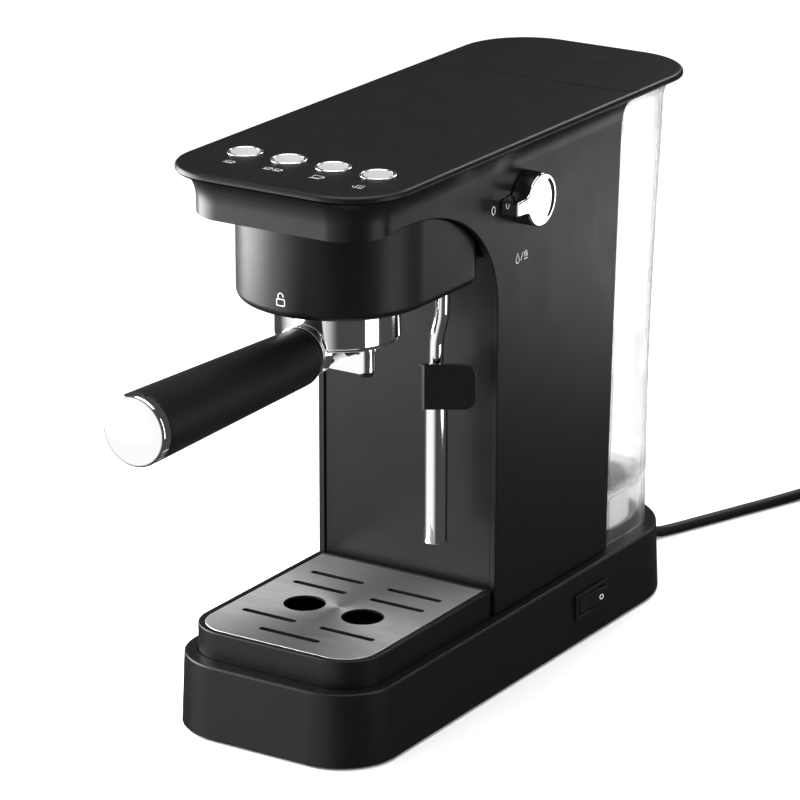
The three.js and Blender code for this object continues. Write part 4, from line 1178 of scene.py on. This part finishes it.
def mark(name, lines, place, body="machine", stroke=STROKE):
    """Thin raised print. lines are (points, closed) in a plane, and place puts a point of
    that plane on the surface, lifted off it by a height."""
    points, faces = [], []
    for line, closed in lines:
        start = len(points)
        count = len(line)
        for i, here in enumerate(line):
            back = line[i - 1] if closed or i else here
            on = line[(i + 1) % count] if closed or i < count - 1 else here
            way = (Vector(on) - Vector(back)).normalized() * (stroke / 2)
            for side, lift in ((-1, 0), (1, 0), (1, INK), (-1, INK)):
                u, v = here[0] - way.y * side, here[1] + way.x * side
                points.append(place(u, v, lift))
        for i in range(count if closed else count - 1):
            a, b = start + 4 * i, start + 4 * ((i + 1) % count)
            for k in range(4):
                m = (k + 1) % 4
                faces.append((a + k, a + m, b + m, b + k))
        if not closed:
            faces.append((start + 3, start + 2, start + 1, start))
            end = start + 4 * (count - 1)
            faces.append((end, end + 1, end + 2, end + 3))
    piece = make(name, points, faces)
    return fit(piece, "print", None, body, sharp=60)


def cup_lines(width, height, u, v):
    """A cup seen from the side, with its handle and saucer."""
    w, h = width / 2, height
    bowl = fillet([(u - w, v + h), (u - w, v), (u + w, v), (u + w, v + h)],
                  [0, h * 0.55, h * 0.55, 0], 6)
    handle = arc((u + w, v + h * 0.55), h * 0.3, -80, 80, 8)
    saucer = [(u - w - 0.5, v - 0.7), (u + w + 0.5, v - 0.7)]
    return [(bowl, True), (handle, False), (saucer, False)]


def steam_line(u, v, height):
    return ([(u + 0.3 * math.sin(2 * math.pi * k / 10), v + height * k / 10) for k in range(11)], False)


def ring_line(u, v, rx, ry):
    return ([(u + rx * math.cos(2 * math.pi * k / 24), v + ry * math.sin(2 * math.pi * k / 24))
             for k in range(24)], True)


def drop_line(u, v, r):
    """A water drop with its point up."""
    body = arc((u, v), r, -210, 30, 14)
    return (body + [(u, v + r * 2.3)], True)


def make_marks(switch):
    top = lid_z[1]
    spots = [(-36.7, -91.1), (-10.0, -91.0), (17.1, -91.4), (44.4, -94.4)]
    icons = [
        ("icon_small_cup", cup_lines(4.8, 2.6, -0.4, -0.6)),
        ("icon_two_cups", cup_lines(3.8, 2.6, -3.4, -0.6) + cup_lines(3.8, 2.6, 2.6, -0.6)),
        ("icon_large_cup", cup_lines(5.4, 4.2, -0.4, -1.4)),
        ("icon_steam", [steam_line(u, -1.6, 4.2) for u in (-1.6, 0.2, 2.0)]
         + [([(-3.6, 0.2), (-2.6, -2.4), (2.8, -2.4)], False)]),
    ]
    for (x, y), (name, lines) in zip(spots, icons):
        mark(name, lines, lambda u, v, lift, x=x, y=y: (x + u, y + v, top + lift), stroke=0.24)

    r = head_x[1]
    low = head_z[0] + 7

    def on_cover(u, v, lift):
        angle = u / r
        return ((r + lift) * math.sin(angle), GROUP_Y - (r + lift) * math.cos(angle), low + v)

    body = fillet([(-2.4, 0), (2.4, 0), (2.4, 3.5), (-2.4, 3.5)], 0.5, 4)
    shackle = [(-1.5, 3.5), (-1.5, 5.2)] + arc((0, 5.2), 1.5, 180, 0, 12)[1:] + [(1.5, 4.7)]
    mark("icon_padlock", [(body, True), (shackle, False)], on_cover, stroke=0.55)

    def on_side(y, z):
        return lambda u, v, lift: (COLUMN_HALF + lift, y + u, z + v)

    mark("icon_off", [ring_line(0, 0, 1.6, 2.2)], on_side(BASE_Y - 38, KNOB_Z))
    lines = [drop_line(-4.2, -0.9, 1.7), ([(-1.0, -1.9), (1.2, 2.4)], False)]
    lines += [steam_line(2.9, -0.7, 3.0), steam_line(4.2, -0.7, 3.8), steam_line(5.5, -0.7, 3.0)]
    lines.append(([(2.4, -1.8), (6.0, -1.8)], False))
    mark("icon_water_steam", lines, on_side(BASE_Y - 8.6, 238.6))

    face, rear, cy, cz = switch
    lean = math.atan2(3.6, rear - cy + 1.5)

    def on_rocker(u, v, lift):
        y = u
        x = face - (rear - y) * math.tan(lean) if y > cy - 1.5 else face - 3.6
        return (x + lift + 0.02, y, cz + v)

    mark("switch_ring", [ring_line(cy + 7.6, 0, 1.3, 1.3)], on_rocker, "power_rocker", 0.4)
    mark("switch_bar", [([(cy - 7.2, -1.6), (cy - 7.2, 1.6)], False)], on_rocker, "power_rocker", 0.5)


# ---- carried-over CAD nodes ----

def make_carried():
    """Gives a look to the CAD nodes that are shown as they are."""
    carried = {
        "inside": ["base_plate"],
        "board": ["button_board", "control_board"],
        "cast": ["group_block", "thermoblock"],
        "brass": ["wand_socket", "steam_valve"],
        "pressed": ["knob_shaft", "pump"],
        "silicone": ["group_gasket", "steam_pipe", "suction_hose", "pressure_hose"],
    }
    for look, names in carried.items():
        for name in names:
            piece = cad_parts[name]
            piece.data.materials.clear()
            piece.data.materials.append(looks[look])


# ---- studio ----

def area(name, place, target, width, height, power):
    data = bpy.data.lights.new(name, "AREA")
    data.shape = "RECTANGLE"
    data.size = width
    data.size_y = height
    data.energy = power
    lamp = add_object(name, data)
    lamp.location = place
    lamp.rotation_euler = (Vector(target) - Vector(place)).to_track_quat("-Z", "Y").to_euler()
    lamp.visible_camera = False


WALLS = 0.07
FRONT_LEFT = 1.1
CEILING = 1.2
FILL = 0.8


def make_world():
    """Dim walls, a bright one ahead of the object on its left, and a bright ceiling, for the
    reflections. The camera and light through the tank see plain white instead, and light
    scattered from a dull surface sees most of it."""
    world = bpy.data.worlds.new("studio")
    bpy.context.scene.world = world
    world.use_nodes = True
    nodes, links = world.node_tree.nodes, world.node_tree.links
    background = nodes["Background"]
    set_inputs(background, Color=(1, 1, 1, 1))
    coordinates = nodes.new("ShaderNodeTexCoord").outputs["Generated"]

    def towards(direction, low, high, strength):
        """Light from the directions within low to high of a direction, as cosines."""
        dot = nodes.new("ShaderNodeVectorMath")
        dot.operation = "DOT_PRODUCT"
        dot.inputs[1].default_value = Vector(direction).normalized()
        fade = nodes.new("ShaderNodeMapRange")
        fade.interpolation_type = "SMOOTHSTEP"
        set_inputs(fade, From_Min=low, From_Max=high, To_Max=strength)
        links.new(coordinates, dot.inputs[0])
        links.new(dot.outputs["Value"], fade.inputs["Value"])
        return fade.outputs["Result"]

    def math_node(operation, first, second):
        node = nodes.new("ShaderNodeMath")
        node.operation = operation
        for socket, value in zip(node.inputs, (first, second)):
            if isinstance(value, float):
                socket.default_value = value
            else:
                links.new(value, socket)
        return node.outputs["Value"]

    glow = math_node("ADD", towards((-0.5, -0.84, -0.2), 0.45, 0.95, FRONT_LEFT), WALLS)
    glow = math_node("ADD", glow, towards((0, 0, 1), 0.8, 0.95, CEILING))
    seen = nodes.new("ShaderNodeLightPath")
    white = math_node("MAXIMUM", seen.outputs["Is Camera Ray"], seen.outputs["Is Transmission Ray"])
    white = math_node("MAXIMUM", white, math_node("MULTIPLY", seen.outputs["Is Diffuse Ray"], FILL))
    either = nodes.new("ShaderNodeMix")
    set_inputs(either, B=1.0)
    links.new(white, either.inputs["Factor"])
    links.new(glow, either.inputs["A"])
    links.new(either.outputs["Result"], background.inputs["Strength"])


def make_studio():
    floor = slab("floor", (4000, -4000, 4000, 400, 400), [(0, -20), (0, -0.05)], 6)
    floor.visible_glossy = False
    pale = moulded("pale floor", grey(0.9), grey(0.92), 0.6, 0.7, 0.01, 0.2)
    floor.data.materials.append(pale)
    make_world()
    area("left softbox", (-0.45, -0.2, 0.3), (0, -0.1, 0.27), 0.4, 0.4, 8.0)
    area("low left softbox", (-0.36, -0.56, 0.16), (-0.03, -0.1, 0.27), 0.3, 0.25, 1.0)
    area("right softbox", (0.31, 0.7, 0.06), (0.06, 0.14, 0.2), 0.28, 0.16, 0.42)
    area("right strip", (0.6, 0.02, 0.25), (0, -0.1, 0.2), 0.3, 0.6, 1.6)
    area("high rear softbox", (0.05, 0.95, 0.85), (0, 0, 0.3), 0.4, 0.3, 3.0)
    area("top softbox", (0.0, 0.1, 2.4), (0, 0, 0), 2.4, 2.4, 50)
    bpy.context.scene.view_settings.view_transform = "Standard"


looks = make_looks()
make_camera()
cord = make_cord()
plug = make_plug()
tie = make_tie()
relief = make_relief()
make_base()
make_tray()
make_plate()
switch = make_switch()
make_housing()
make_panel()
make_head_cover()
make_lid()
make_buttons()
make_group()
make_portafilter()
make_wand()
make_knob()
make_tank()
make_marks(switch)
make_carried()
make_studio()
